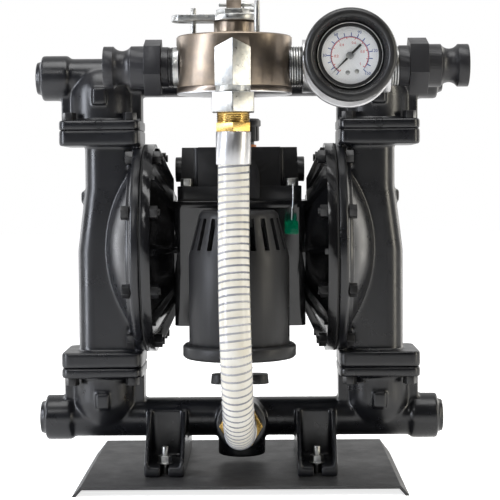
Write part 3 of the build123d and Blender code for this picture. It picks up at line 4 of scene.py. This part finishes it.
import bmesh
import bpy
from mathutils import Matrix, Vector


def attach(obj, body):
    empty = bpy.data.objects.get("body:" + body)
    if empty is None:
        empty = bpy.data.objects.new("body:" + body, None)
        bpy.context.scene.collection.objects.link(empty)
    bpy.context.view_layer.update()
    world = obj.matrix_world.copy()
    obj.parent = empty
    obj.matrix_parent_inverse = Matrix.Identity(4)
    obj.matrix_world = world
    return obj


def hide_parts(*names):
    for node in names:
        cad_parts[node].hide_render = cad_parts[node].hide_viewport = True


# Looks of the transfer pump. Metres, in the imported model's own frame: X right, front is -Y, Z up.
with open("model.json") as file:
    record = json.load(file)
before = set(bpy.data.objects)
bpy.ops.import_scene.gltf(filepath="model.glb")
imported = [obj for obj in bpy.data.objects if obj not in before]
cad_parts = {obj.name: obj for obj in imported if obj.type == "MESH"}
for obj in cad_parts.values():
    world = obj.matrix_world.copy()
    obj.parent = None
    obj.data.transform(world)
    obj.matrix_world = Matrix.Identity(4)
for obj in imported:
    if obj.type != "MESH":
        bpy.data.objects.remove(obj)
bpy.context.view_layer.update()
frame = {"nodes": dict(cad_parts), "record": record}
nodes = frame["nodes"]
scene = bpy.context.scene
MM = 0.001

# Camera, from the photograph's vanishing point and the width of the parts of standard size
camera_place = (0.020, -1.395, 0.2738)
camera_lens = 108.0
camera_pitch = math.radians(2.75)
camera_yaw = math.radians(0.46)
camera_roll = math.radians(-0.4)

# The hose's route, the same points as in the part's source
hose_points = [
    (-0.0030, -0.1550, 0.2848), (-0.0030, -0.1550, 0.2620), (-0.0034, -0.1595, 0.2290),
    (-0.0033, -0.1680, 0.1910), (-0.0026, -0.1755, 0.1550), (-0.0016, -0.1775, 0.1210),
    (-0.0009, -0.1640, 0.0885), (-0.0004, -0.1385, 0.0635), (0.0, -0.1060, 0.0500), (0.0, -0.0820, 0.0500),
]
hose_diameter = 0.026
wire_pitch = 0.0060
wire_thickness = 0.0013


class Nodes:
    """A small helper that builds a material's node tree on a Principled shader."""

    def __init__(self, name, color, roughness, metallic=0.0):
        self.material = bpy.data.materials.new(name)
        self.material.use_nodes = True
        self.tree = self.material.node_tree
        self.shader = self.tree.nodes["Principled BSDF"]
        self.shader.inputs["Base Color"].default_value = (*color, 1)
        self.shader.inputs["Roughness"].default_value = roughness
        self.shader.inputs["Metallic"].default_value = metallic
        self.place = self.add("ShaderNodeTexCoord").outputs["Object"]

    def add(self, kind, **values):
        node = self.tree.nodes.new(kind)
        for key, value in values.items():
            setattr(node, key, value)
        return node

    def link(self, out, into):
        self.tree.links.new(out, into)

    def noise(self, scale, detail=4.0, rough=0.55, stretch=None):
        node = self.add("ShaderNodeTexNoise")
        node.inputs["Scale"].default_value = scale
        node.inputs["Detail"].default_value = detail
        node.inputs["Roughness"].default_value = rough
        place = self.place
        if stretch:
            mapping = self.add("ShaderNodeMapping")
            mapping.inputs["Scale"].default_value = stretch
            self.link(place, mapping.inputs["Vector"])
            place = mapping.outputs["Vector"]
        self.link(place, node.inputs["Vector"])
        return node.outputs["Fac"]

    def ramp(self, source, low, high, start=0.3, end=0.7):
        node = self.add("ShaderNodeValToRGB")
        node.color_ramp.elements[0].position = start
        node.color_ramp.elements[1].position = end
        node.color_ramp.elements[0].color = (*low, 1)
        node.color_ramp.elements[1].color = (*high, 1)
        self.link(source, node.inputs["Fac"])
        return node.outputs["Color"]

    def span(self, source, low, high, start=0.3, end=0.7):
        node = self.add("ShaderNodeMapRange")
        node.inputs["From Min"].default_value = start
        node.inputs["From Max"].default_value = end
        node.inputs["To Min"].default_value = low
        node.inputs["To Max"].default_value = high
        self.link(source, node.inputs["Value"])
        return node.outputs["Result"]

    def bump(self, source, depth):
        node = self.add("ShaderNodeBump")
        node.inputs["Distance"].default_value = depth
        node.inputs["Strength"].default_value = 1.0
        self.link(source, node.inputs["Height"])
        self.link(node.outputs["Normal"], self.shader.inputs["Normal"])


def coated(name, color, light, roughness, grain, depth, coat=0.0, shine=0.3):
    """A coated or moulded surface: faint colour change, uneven gloss and a cast or textured skin."""
    m = Nodes(name, color, roughness)
    m.link(m.ramp(m.noise(18.0, 3.0), color, light), m.shader.inputs["Base Color"])
    m.link(m.span(m.noise(60.0, 3.0), roughness - 0.05, roughness + 0.07), m.shader.inputs["Roughness"])
    m.bump(m.noise(grain, 5.0, 0.65), depth)
    m.shader.inputs["Specular IOR Level"].default_value = shine
    m.shader.inputs["Coat Weight"].default_value = coat
    m.shader.inputs["Coat Roughness"].default_value = 0.22
    return m.material


def metal(name, color, light, roughness, stretch=(1, 1, 1), grain=700.0, depth=0.00001):
    """A machined or plated metal: brushed gloss along one direction and a faint change of tone."""
    m = Nodes(name, color, roughness, 1.0)
    m.link(m.ramp(m.noise(90.0, 3.0), color, light), m.shader.inputs["Base Color"])
    m.link(m.span(m.noise(grain, 4.0, 0.6, stretch), roughness - 0.07, roughness + 0.1),
           m.shader.inputs["Roughness"])
    m.bump(m.noise(grain, 3.0, 0.6, stretch), depth)
    return m.material


def zinc(name):
    """Bright zinc plate: patchy bluish and warm tones with soft spangle."""
    m = Nodes(name, (0.40, 0.41, 0.40), 0.34, 1.0)
    m.link(m.ramp(m.noise(120.0, 5.0, 0.7), (0.30, 0.315, 0.33), (0.52, 0.51, 0.47)),
           m.shader.inputs["Base Color"])
    m.link(m.span(m.noise(420.0, 4.0), 0.26, 0.46), m.shader.inputs["Roughness"])
    m.bump(m.noise(650.0, 3.0, 0.6), 0.00009)
    return m.material


def painted_rim_highlight(name, brown, highlight_color, height):
    """The selector's bottom plate: brown on its side, with a painted highlight in a bright metal colour along
    its lower rim.
    """
    m = Nodes(name, brown, 0.34, 1.0)
    parts = m.add("ShaderNodeSeparateXYZ")
    m.link(m.place, parts.inputs["Vector"])
    # Below the given height the colour is a painted highlight, above it the brown
    mixed = m.add("ShaderNodeMix", data_type="RGBA")
    m.link(m.span(parts.outputs["Z"], 0.0, 1.0, height - 0.0003, height + 0.0003), mixed.inputs["Factor"])
    m.link(m.ramp(m.noise(90.0, 3.0), highlight_color, tuple(part * 1.15 for part in highlight_color)), mixed.inputs["A"])
    m.link(m.ramp(m.noise(90.0, 3.0), brown, tuple(part * 1.3 for part in brown)), mixed.inputs["B"])
    m.link(mixed.outputs["Result"], m.shader.inputs["Base Color"])
    m.bump(m.noise(700.0, 3.0), 0.00001)
    return m.material


def clear_vinyl(name):
    """The hose's wall: milky clear vinyl, glossy, with light coming through."""
    m = Nodes(name, (0.88, 0.86, 0.80), 0.2)
    m.link(m.ramp(m.noise(60.0, 3.0), (0.84, 0.79, 0.67), (0.94, 0.92, 0.86)), m.shader.inputs["Base Color"])
    m.shader.inputs["Transmission Weight"].default_value = 0.15
    m.shader.inputs["IOR"].default_value = 1.4
    m.shader.inputs["Alpha"].default_value = 0.86
    m.bump(m.noise(300.0, 2.0), 0.00003)
    return m.material


def glass(name, tint, alpha):
    """A clear or tinted glass or plastic."""
    m = Nodes(name, tint, 0.04)
    m.shader.inputs["Transmission Weight"].default_value = 0.9
    m.shader.inputs["IOR"].default_value = 1.25
    m.shader.inputs["Alpha"].default_value = alpha
    m.bump(m.noise(40.0, 2.0), 0.000004)
    return m.material


def printed(name, color):
    """Ink on the dial: one colour with a faint change of tone."""
    return coated(name, color, tuple(part * 1.15 for part in color), 0.5, 900.0, 0.000005)


looks = {
    "black_coated_metal": coated("black_coated_metal", (0.0050, 0.0053, 0.0068), (0.0080, 0.0085, 0.0108),
                                 0.30, 600.0, 0.000016, 0.05, 0.5),
    "housing_black": coated("housing_black", (0.005, 0.005, 0.0055), (0.008, 0.008, 0.009),
                            0.17, 500.0, 0.000010, 0.1, 0.5),
    "base_black": coated("base_black", (0.022, 0.022, 0.023), (0.034, 0.034, 0.035), 0.46, 1400.0, 0.00018,
                          0.0, 0.45),
    "muffler_plastic": coated("muffler_plastic", (0.009, 0.009, 0.0098), (0.013, 0.013, 0.014),
                              0.42, 1500.0, 0.00002),
    "cover_plastic": coated("cover_plastic", (0.007, 0.007, 0.0076), (0.010, 0.010, 0.011),
                            0.33, 1500.0, 0.000015),
    "camlock_plastic": coated("camlock_plastic", (0.014, 0.014, 0.016), (0.022, 0.022, 0.025),
                              0.36, 1100.0, 0.00002, 0.0, 0.4),
    "boot_rubber": coated("boot_rubber", (0.010, 0.010, 0.0105), (0.016, 0.016, 0.0165),
                          0.36, 1800.0, 0.00003, 0.05, 0.4),
    "elastomer": coated("elastomer", (0.012, 0.012, 0.012), (0.018, 0.018, 0.018), 0.7, 1200.0, 0.00004),
    "black_steel": coated("black_steel", (0.009, 0.009, 0.0095), (0.015, 0.015, 0.016), 0.34, 900.0, 0.00003,
                          0.0, 0.45),
    "regulator_black": coated("regulator_black", (0.010, 0.010, 0.011), (0.015, 0.015, 0.016),
                              0.35, 1500.0, 0.00003),
    "ptfe": coated("ptfe", (0.80, 0.80, 0.78), (0.86, 0.86, 0.84), 0.5, 900.0, 0.00002),
    "dial_white": coated("dial_white", (0.78, 0.79, 0.80), (0.82, 0.83, 0.84), 0.45, 900.0, 0.00001),
    "needle_black": coated("needle_black", (0.012, 0.012, 0.012), (0.018, 0.018, 0.018), 0.4, 900.0, 0.00001),
    "orange_plastic": coated("orange_plastic", (0.75, 0.20, 0.02), (0.82, 0.26, 0.04), 0.4, 900.0, 0.00002),
    "brown_anodised": metal("brown_anodised", (0.21, 0.175, 0.145), (0.29, 0.235, 0.18), 0.36, (1, 1, 14)),
    "zinc_plated": zinc("zinc_plated"),
    "steel": metal("steel", (0.45, 0.45, 0.46), (0.58, 0.58, 0.59), 0.3),
    "brass": metal("brass", (0.44, 0.27, 0.07), (0.62, 0.43, 0.15), 0.3),
    "aluminium": metal("aluminium", (0.52, 0.52, 0.53), (0.66, 0.66, 0.67), 0.34, (1, 1, 9)),
    "clear_hose": clear_vinyl("clear_hose"),
    "lens": glass("lens", (0.97, 0.99, 0.99), 0.06),
    "green_seal": glass("green_seal", (0.0, 0.62, 0.33), 0.95),
}
blue_ink = printed("blue_ink", (0.03, 0.08, 0.30))
red_ink = printed("red_ink", (0.55, 0.03, 0.02))
slot_of = {entry["node"]: entry["material_slot"] for entry in frame["record"]["subparts"]}
for name, node in nodes.items():
    node.data.materials.clear()
    node.data.materials.append(looks[slot_of[name]])
# The selector's bottom plate gets a painted highlight in a bright colour below this height
highlight_height = 0.3472
nodes["selector_bottom_plate"].data.materials[0] = painted_rim_highlight("bottom_plate_painted_highlight", (0.21, 0.175, 0.145),
                                                           (0.66, 0.66, 0.67), highlight_height)

# Rounded castings, and small bevels on the other visible nodes
cast_voxel = 0.0012
fillet_rounds = 14
kept_share = 0.24
for name in ("lower_manifold", "upper_manifold", "left_fluid_cap", "right_fluid_cap"):
    remesh = nodes[name].modifiers.new("skin", "REMESH")
    remesh.mode = "VOXEL"
    remesh.voxel_size = cast_voxel
    remesh.use_smooth_shade = True
    fillet = nodes[name].modifiers.new("fillet", "SMOOTH")
    fillet.factor = 0.5
    fillet.iterations = fillet_rounds
    thin = nodes[name].modifiers.new("thin", "DECIMATE")
    thin.ratio = kept_share
# Bevel widths in millimetres
weld_distance = 0.00002
flat_angle = math.radians(1.0)
sharp_angle = math.radians(35.0)
bevels = {
    "center_housing": 1.2, "air_valve_cover": 1.2, "muffler_canister": 0.5, "muffler_base": 0.5,
    "muffler_knob": 1.0, "selector_body": 0.6, "selector_bottom_plate": 0.6, "selector_gland": 0.5,
    "selector_stem": 0.5, "lever_plate": 0.5, "lever_nut": 0.6, "stop_pins": 0.4, "left_camlock": 0.8,
    "right_camlock": 0.8, "gauge_tee": 0.8, "gauge_isolator": 0.5, "gauge_case": 0.4, "gauge_boot": 1.6,
    "elbow": 1.8, "swivel_nut": 0.9, "upper_hose_fitting": 0.6, "lower_hose_fitting": 0.6,
    "hose_ferrules": 0.5, "regulator_body": 1.0, "regulator_knob": 0.6, "regulator_ring": 0.4,
    "valve_end_plugs": 0.7, "cover_bolts": 0.4, "left_cap_bolts": 0.6, "right_cap_bolts": 0.6,
    "upper_manifold_bolts": 0.6, "lower_manifold_bolts": 0.6, "foot_bolts": 0.4, "seal_tag": 0.4,
    "cover_gasket": 0.2,
}
for name, width in bevels.items():
    weld = nodes[name].modifiers.new("weld", "WELD")
    weld.merge_threshold = weld_distance
    flat = nodes[name].modifiers.new("flat", "DECIMATE")
    flat.decimate_type = "DISSOLVE"
    flat.angle_limit = flat_angle
    round_edge = nodes[name].modifiers.new("edge", "BEVEL")
    round_edge.limit_method = "ANGLE"
    round_edge.angle_limit = sharp_angle
    round_edge.width = width * MM
    round_edge.segments = 2
    round_edge.harden_normals = True
    nodes[name].data.shade_smooth()


def piece(name, mesh, slot, body="root", stands_for=(), look=None):
    """Adds a mesh as a named piece with its material, its body and the CAD nodes it stands for."""
    made = bpy.data.objects.new(name, mesh)
    scene.collection.objects.link(made)
    mesh.materials.append(look or looks[slot])
    if stands_for:
        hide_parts(*stands_for)
    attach(made, body)
    return made


def mesh_of(bm, name, smooth=True):
    """Turns a bmesh into a mesh, smooth apart from its sharp edges."""
    bmesh.ops.recalc_face_normals(bm, faces=bm.faces)
    mesh = bpy.data.meshes.new(name)
    bm.to_mesh(mesh)
    bm.free()
    if smooth:
        mesh.shade_smooth()
        mesh.set_sharp_from_angle(angle=sharp_angle)
    return mesh


def frame_at(origin, axis, up=(0, 0, 1)):
    """A matrix whose Z lies along axis."""
    z = Vector(axis).normalized()
    x = Vector(up).cross(z)
    if x.length < 1e-6:
        x = Vector((1, 0, 0)).cross(z)
    x.normalize()
    return Matrix.Translation(origin) @ Matrix((x, z.cross(x), z)).transposed().to_4x4()


def lathe(bm, outline, matrix, segments=64):
    """Adds a closed surface turned from (radius, height) points about a matrix's Z."""
    rings = []
    for radius, height in outline:
        ring = []
        for step in range(segments):
            angle = 2 * math.pi * step / segments
            point = Vector((radius * math.cos(angle), radius * math.sin(angle), height))
            ring.append(bm.verts.new(matrix @ point))
        rings.append(ring)
    for low, high in [*zip(rings, rings[1:]), (rings[-1], rings[0])]:
        for step in range(segments):
            after = (step + 1) % segments
            bm.faces.new((low[step], low[after], high[after], high[step]))


def tube(bm, path, radius, sides):
    """Adds a round, capped tube along points."""
    rings = []
    last_up = Vector((1, 0, 0))
    for index, point in enumerate(path):
        ahead = path[min(index + 1, len(path) - 1)] - path[max(index - 1, 0)]
        ahead.normalize()
        side = last_up - ahead * last_up.dot(ahead)
        if side.length < 1e-6:
            side = ahead.orthogonal()
        side.normalize()
        last_up = side
        other = ahead.cross(side)
        ring = []
        for step in range(sides):
            angle = 2 * math.pi * step / sides
            offset = side * math.cos(angle) + other * math.sin(angle)
            ring.append(bm.verts.new(point + offset * radius))
        rings.append(ring)
    for low, high in zip(rings, rings[1:]):
        for step in range(sides):
            after = (step + 1) % sides
            bm.faces.new((low[step], low[after], high[after], high[step]))
    bm.faces.new(list(reversed(rings[0])))
    bm.faces.new(rings[-1])


def thread(name, origin, axis, radius, length, pitch, slot, depth):
    """A screw thread's crests as one ridge wound on a round shank."""
    place = frame_at(origin, axis)
    bm = bmesh.new()
    steps = 28
    turns = length / pitch
    path = []
    for step in range(int(steps * turns) + 1):
        angle = 2 * math.pi * step / steps
        path.append(place @ Vector((radius * math.cos(angle), radius * math.sin(angle),
                                    pitch * step / steps)))
    tube(bm, path, depth, 6)
    piece(name, mesh_of(bm, name), slot)


# Hose: a curve with the wall's material, and the wire wound inside its wall
hose_curve = bpy.data.curves.new("hose_wall", "CURVE")
hose_curve.dimensions = "3D"
spline = hose_curve.splines.new("NURBS")
spline.points.add(len(hose_points) - 1)
for point, place in zip(spline.points, hose_points):
    point.co = (*place, 1)
spline.order_u = 3
spline.use_endpoint_u = True
spline.resolution_u = 24
hose_curve.resolution_u = 24
center_line = bpy.data.objects.new("center_line", hose_curve)
scene.collection.objects.link(center_line)
bpy.context.view_layer.update()
line_mesh = bpy.data.meshes.new_from_object(center_line.evaluated_get(bpy.context.evaluated_depsgraph_get()))
center = [vertex.co.copy() for vertex in line_mesh.vertices]
center_line.name = "hose_wall"
hose_curve.bevel_depth = hose_diameter / 2
hose_curve.bevel_resolution = 12
hose_curve.use_fill_caps = True
hose_curve.materials.append(looks["clear_hose"])
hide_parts("hose")
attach(center_line, "root")


def along(points, distance):
    """The point and direction at a distance along a polyline."""
    for first, second in zip(points, points[1:]):
        step = (second - first).length
        if distance <= step:
            return first.lerp(second, distance / step), (second - first).normalized()
        distance -= step
    return points[-1].copy(), (points[-1] - points[-2]).normalized()


line_length = sum((b - a).length for a, b in zip(center, center[1:]))
bm = bmesh.new()
coil = []
turn_steps = 24
total_steps = int(line_length / wire_pitch * turn_steps)
for step in range(total_steps + 1):
    place, ahead = along(center, line_length * step / total_steps)
    side = Vector((1, 0, 0)) - ahead * ahead.x
    side.normalize()
    other = ahead.cross(side)
    angle = 2 * math.pi * step / turn_steps
    coil.append(place + (side * math.cos(angle) + other * math.sin(angle)) * (hose_diameter / 2 - 0.0008))
tube(bm, coil, wire_thickness, 6)
hose_rib = coated("hose_rib", (0.07, 0.08, 0.11), (0.40, 0.40, 0.41), 0.22, 500.0, 0.00002, 0.2, 0.5)
wire = piece("hose_wire", mesh_of(bm, "hose_wire"), "clear_hose", look=hose_rib)

# Threads
thread("upper_fitting_thread", (-0.003, -0.155, 0.3196), (0, 0, 1), 0.0129, 0.0080, 0.0018, "brass", 0.0008)
port_y, port_z = -0.088, 0.370
for name, x, way, length, slot in (("left_nipple_thread", -0.0518, -1, 0.0072, "black_steel"),
                                   ("right_nipple_thread", 0.0458, 1, 0.0094, "zinc_plated"),
                                   ("tee_nipple_thread", 0.1322, 1, 0.0062, "zinc_plated")):
    thread(name, (x, port_y, port_z), (way, 0, 0), 0.0165, length, 0.0022, slot, 0.0009)

# Bright spot faces round the selector's ports
spot_hole, spot_rim, spot_rise = 0.0169, 0.0188, 0.0003
bm = bmesh.new()
for x, way in ((-0.051, -1), (0.045, 1)):
    lathe(bm, [(spot_hole, 0), (spot_rim, 0), (spot_rim, spot_rise), (spot_hole, spot_rise)],
          frame_at((x, port_y, port_z), (way, 0, 0)))
piece("port_spot_faces", mesh_of(bm, "port_spot_faces"), "aluminium")
bm = bmesh.new()
lathe(bm, [(0.01675, 0.0003), (0.0174, 0.0003), (0.0174, 0.0040), (0.0170, 0.0050), (0.01675, 0.0050)],
      frame_at((-0.051, port_y, port_z), (-1, 0, 0)))
piece("left_port_collar", mesh_of(bm, "left_port_collar"), "zinc_plated")

# The hitch pin's bent tail
bm = bmesh.new()
tail = [Vector(point) * MM for point in (
    (9.6, -88.0, 423.5), (12.4, -88.6, 423.4), (15.0, -90.2, 422.4), (16.8, -92.6, 420.8),
    (17.2, -95.4, 419.0), (16.0, -97.8, 417.8), (13.4, -99.2, 417.4), (10.6, -99.4, 417.8))]
tube(bm, tail, 0.0014, 12)
piece("hitch_pin_tail", mesh_of(bm, "hitch_pin_tail"), "zinc_plated", "selector")


def mark(bm, x, z, face=0.0, pipe=None):
    """A raised ring on a front face at y = face, or on a pipe of the given centre height and radius."""
    count = 40
    rows = []
    for radius, lift in ((0.0036, 0.0), (0.0037, 0.0003), (0.0040, 0.0003), (0.0041, 0.0)):
        row = []
        for step in range(count):
            angle = 2 * math.pi * step / count
            px, pz = x + radius * math.cos(angle), z + radius * math.sin(angle)
            y = face
            if pipe:
                y = -math.sqrt(pipe[1] ** 2 - (pz - pipe[0]) ** 2)
            row.append(bm.verts.new((px, y - lift, pz)))
        rows.append(row)
    for low, high in zip(rows, rows[1:]):
        for step in range(count):
            after = (step + 1) % count
            bm.faces.new((low[step], low[after], high[after], high[step]))


# Round moulding marks on the castings
bm = bmesh.new()
for x in (-0.127, 0.127):
    mark(bm, x, 0.3232, -0.0370)
piece("upper_flange_marks", mesh_of(bm, "upper_flange_marks"), "black_coated_metal")
lower_pipe = (0.0515, 0.0180)
bm = bmesh.new()
for x in (-0.0332, 0.0360):
    mark(bm, x, lower_pipe[0], pipe=lower_pipe)
piece("lower_pipe_marks", mesh_of(bm, "lower_pipe_marks"), "black_coated_metal")

# Dial: two scales, their numbers, two screws and the bezel's bright ring
dial_center = (0.0935, 0.374)
dial_face = -0.15012
dial_reach = 0.023


def dial_quad(bm, angle, near, far, half):
    """A tick from one radius to another, at an angle counted from +X towards +Z."""
    c, s = math.cos(math.radians(angle)), math.sin(math.radians(angle))
    corners = [(near, -half), (far, -half), (far, half), (near, half)]
    bm.faces.new([bm.verts.new((dial_center[0] + r * c - w * s, dial_face, dial_center[1] + r * s + w * c))
                  for r, w in corners])


def dial_arc(bm, start, end, radius, half):
    """A thin arc round the dial."""
    count = 90
    last = None
    for step in range(count + 1):
        angle = math.radians(start + (end - start) * step / count)
        pair = [bm.verts.new((dial_center[0] + r * math.cos(angle), dial_face,
                              dial_center[1] + r * math.sin(angle))) for r in (radius - half, radius + half)]
        if last:
            bm.faces.new((last[0], last[1], pair[1], pair[0]))
        last = pair


def dial_number(bm, text, angle, radius, size):
    """Adds a plain number, upright, centred on a place of the dial."""
    curve = bpy.data.curves.new("number", "FONT")
    curve.body = text
    curve.size = size
    curve.align_x = "CENTER"
    curve.align_y = "CENTER"
    curve.resolution_u = 3
    holder = bpy.data.objects.new("number", curve)
    scene.collection.objects.link(holder)
    bpy.context.view_layer.update()
    made = bpy.data.meshes.new_from_object(holder.evaluated_get(bpy.context.evaluated_depsgraph_get()))
    c, s = math.cos(math.radians(angle)), math.sin(math.radians(angle))
    made.transform(Matrix.Translation((dial_center[0] + radius * c, dial_face, dial_center[1] + radius * s))
                   @ Matrix.Rotation(math.pi / 2, 4, "X"))
    bm.from_mesh(made)
    bpy.data.objects.remove(holder)
    bpy.data.curves.remove(curve)
    bpy.data.meshes.remove(made)


bm = bmesh.new()
for step in range(61):
    angle = 235 - 280 * step / 60
    major = step % 4 == 0
    dial_quad(bm, angle, 0.69 * dial_reach, (0.83 if major else 0.73) * dial_reach,
              0.00034 if major else 0.00008)
dial_arc(bm, 235, -45, 0.69 * dial_reach, 0.00012)
for step, text in ((3, "30"), (6, "60"), (9, "90"), (12, "120"), (15, "150")):
    dial_number(bm, text, 235 - 280 * step / 15, 0.905 * dial_reach, 0.0034)
piece("dial_outer_scale", mesh_of(bm, "dial_outer_scale", False), "dial_white", look=blue_ink)
bm = bmesh.new()
for step in range(41):
    angle = 237 - 275 * step / 40
    dial_quad(bm, angle, (0.60 if step % 4 == 0 else 0.635) * dial_reach, 0.675 * dial_reach,
              0.00026 if step % 4 == 0 else 0.00010)
dial_arc(bm, 237, -38, 0.668 * dial_reach, 0.00024)
for step, text in ((2, "0.2"), (4, "0.4"), (6, "0.6"), (8, "0.8"), (10, "1")):
    dial_number(bm, text, 237 - 27.5 * step, 0.48 * dial_reach, 0.0030)
piece("dial_inner_scale", mesh_of(bm, "dial_inner_scale", False), "dial_white", look=red_ink)
bm = bmesh.new()
for x, z in ((-1.8, -13.9), (5.7, -12.9)):
    lathe(bm, [(0.0, 0.0), (0.0019, 0.0), (0.0019, 0.0003), (0.0016, 0.0005), (0.0, 0.0005)],
          frame_at((dial_center[0] + x * MM, -0.150, dial_center[1] + z * MM), (0, -1, 0)), 24)
piece("dial_screws", mesh_of(bm, "dial_screws"), "zinc_plated")
bm = bmesh.new()
bezel_radius, bezel_wire = 0.0268, 0.00045
bezel = [(bezel_radius + bezel_wire * math.cos(eighth * math.pi / 4),
          bezel_wire * math.sin(eighth * math.pi / 4)) for eighth in range(8)]
lathe(bm, bezel, frame_at((dial_center[0], -0.1556, dial_center[1]), (0, -1, 0)), 96)
piece("bezel_ring", mesh_of(bm, "bezel_ring"), "zinc_plated")
bm = bmesh.new()
lathe(bm, [(0.0, 0.0), (0.0031, 0.0), (0.0029, 0.0006), (0.0014, 0.0008), (0.0, 0.0008)],
      frame_at((dial_center[0], -0.15125, dial_center[1]), (0, -1, 0)), 32)
piece("needle_cap", mesh_of(bm, "needle_cap"), "zinc_plated", "needle")

# Floor, lights and camera
floor_mesh = bpy.data.meshes.new("floor")
floor_half = 6.0
floor_mesh.from_pydata([(-floor_half, -floor_half, 0), (floor_half, -floor_half, 0),
                        (floor_half, floor_half, 0), (-floor_half, floor_half, 0)], [], [(0, 1, 2, 3)])
floor = bpy.data.objects.new("floor", floor_mesh)
scene.collection.objects.link(floor)
floor_look = Nodes("floor", (0.9, 0.9, 0.9), 0.8)
floor_look.shader.inputs["Specular IOR Level"].default_value = 0.0
floor_look.shader.inputs["Emission Color"].default_value = (1, 1, 1, 1)
floor_path = floor_look.add("ShaderNodeLightPath")
seen = floor_look.add("ShaderNodeMath", operation="ADD", use_clamp=True)
floor_look.link(floor_path.outputs["Is Camera Ray"], seen.inputs[0])
floor_look.link(floor_path.outputs["Is Transmission Ray"], seen.inputs[1])
also = floor_look.add("ShaderNodeMath", operation="MULTIPLY_ADD")
floor_look.link(floor_path.outputs["Is Glossy Ray"], also.inputs[0])
also.inputs[1].default_value = 0.5
floor_look.link(seen.outputs["Value"], also.inputs[2])
floor_glow = floor_look.add("ShaderNodeMath", operation="MULTIPLY")
floor_look.link(also.outputs["Value"], floor_glow.inputs[0])
floor_glow.inputs[1].default_value = 0.78
floor_look.link(floor_glow.outputs["Value"], floor_look.shader.inputs["Emission Strength"])
floor_mesh.materials.append(floor_look.material)

world = bpy.data.worlds.new("studio")
scene.world = world
world.use_nodes = True
background = world.node_tree.nodes["Background"]
world_light = 0.35
front_glow, back_glow = 0.0, 0.75
world_nodes, world_links = world.node_tree.nodes, world.node_tree.links
path = world_nodes.new("ShaderNodeLightPath")
direction = world_nodes.new("ShaderNodeTexCoord")
parts = world_nodes.new("ShaderNodeSeparateXYZ")
world_links.new(direction.outputs["Generated"], parts.inputs["Vector"])
glow = world_nodes.new("ShaderNodeMapRange")
glow.inputs["From Min"].default_value = -0.5
glow.inputs["From Max"].default_value = 0.5
glow.inputs["To Min"].default_value = front_glow
glow.inputs["To Max"].default_value = back_glow
world_links.new(parts.outputs["Y"], glow.inputs["Value"])
soft = world_nodes.new("ShaderNodeMapRange")
soft.inputs["To Min"].default_value = world_light
world_links.new(path.outputs["Is Glossy Ray"], soft.inputs["Value"])
world_links.new(glow.outputs["Result"], soft.inputs["To Max"])
clear_rays = world_nodes.new("ShaderNodeMath")
clear_rays.operation = "ADD"
clear_rays.use_clamp = True
world_links.new(path.outputs["Is Camera Ray"], clear_rays.inputs[0])
world_links.new(path.outputs["Is Transmission Ray"], clear_rays.inputs[1])
level = world_nodes.new("ShaderNodeMapRange")
level.inputs["To Max"].default_value = 1.0
world_links.new(clear_rays.outputs["Value"], level.inputs["Value"])
world_links.new(soft.outputs["Result"], level.inputs["To Min"])
world_links.new(level.outputs["Result"], background.inputs["Strength"])
background.inputs["Color"].default_value = (1, 1, 1, 1)


def softbox(name, place, target, size, power, color=(1, 1, 1)):
    """A rectangular lamp that faces a point."""
    lamp = bpy.data.lights.new(name, "AREA")
    lamp.color = color
    lamp.shape = "RECTANGLE"
    lamp.size, lamp.size_y = size
    lamp.energy = power
    made = bpy.data.objects.new(name, lamp)
    made.location = place
    made.rotation_euler = (Vector(target) - Vector(place)).to_track_quat("-Z", "Y").to_euler()
    scene.collection.objects.link(made)


middle = (0, 0, 0.22)
softbox("left_box", (-1.25, -0.62, 0.45), middle, (0.34, 1.3), 20.0, (0.87, 0.91, 1.0))
softbox("right_box", (1.25, -0.62, 0.45), middle, (0.24, 1.3), 10.0, (1.0, 0.94, 0.80))
softbox("left_back", (-1.0, 0.75, 0.5), middle, (0.5, 1.2), 5.0, (0.93, 0.95, 1.0))
softbox("right_back", (1.0, 0.75, 0.5), middle, (0.5, 1.2), 5.0, (1.0, 0.96, 0.88))
softbox("top_box", (0, -0.30, 1.35), middle, (1.1, 0.6), 10.0)
softbox("front_box", (-0.55, -1.6, 1.35), middle, (0.4, 0.4), 3.5)

camera_data = bpy.data.cameras.new("camera")
camera_data.lens = camera_lens
camera_data.sensor_width = 36.0
camera = bpy.data.objects.new("camera", camera_data)
scene.collection.objects.link(camera)
turn = (Matrix.Rotation(camera_yaw, 4, "Z") @ Matrix.Rotation(math.pi / 2 - camera_pitch, 4, "X")
        @ Matrix.Rotation(camera_roll, 4, "Z"))
camera.matrix_world = Matrix.Translation(camera_place) @ turn
scene.camera = camera
scene.view_settings.view_transform = "Standard"
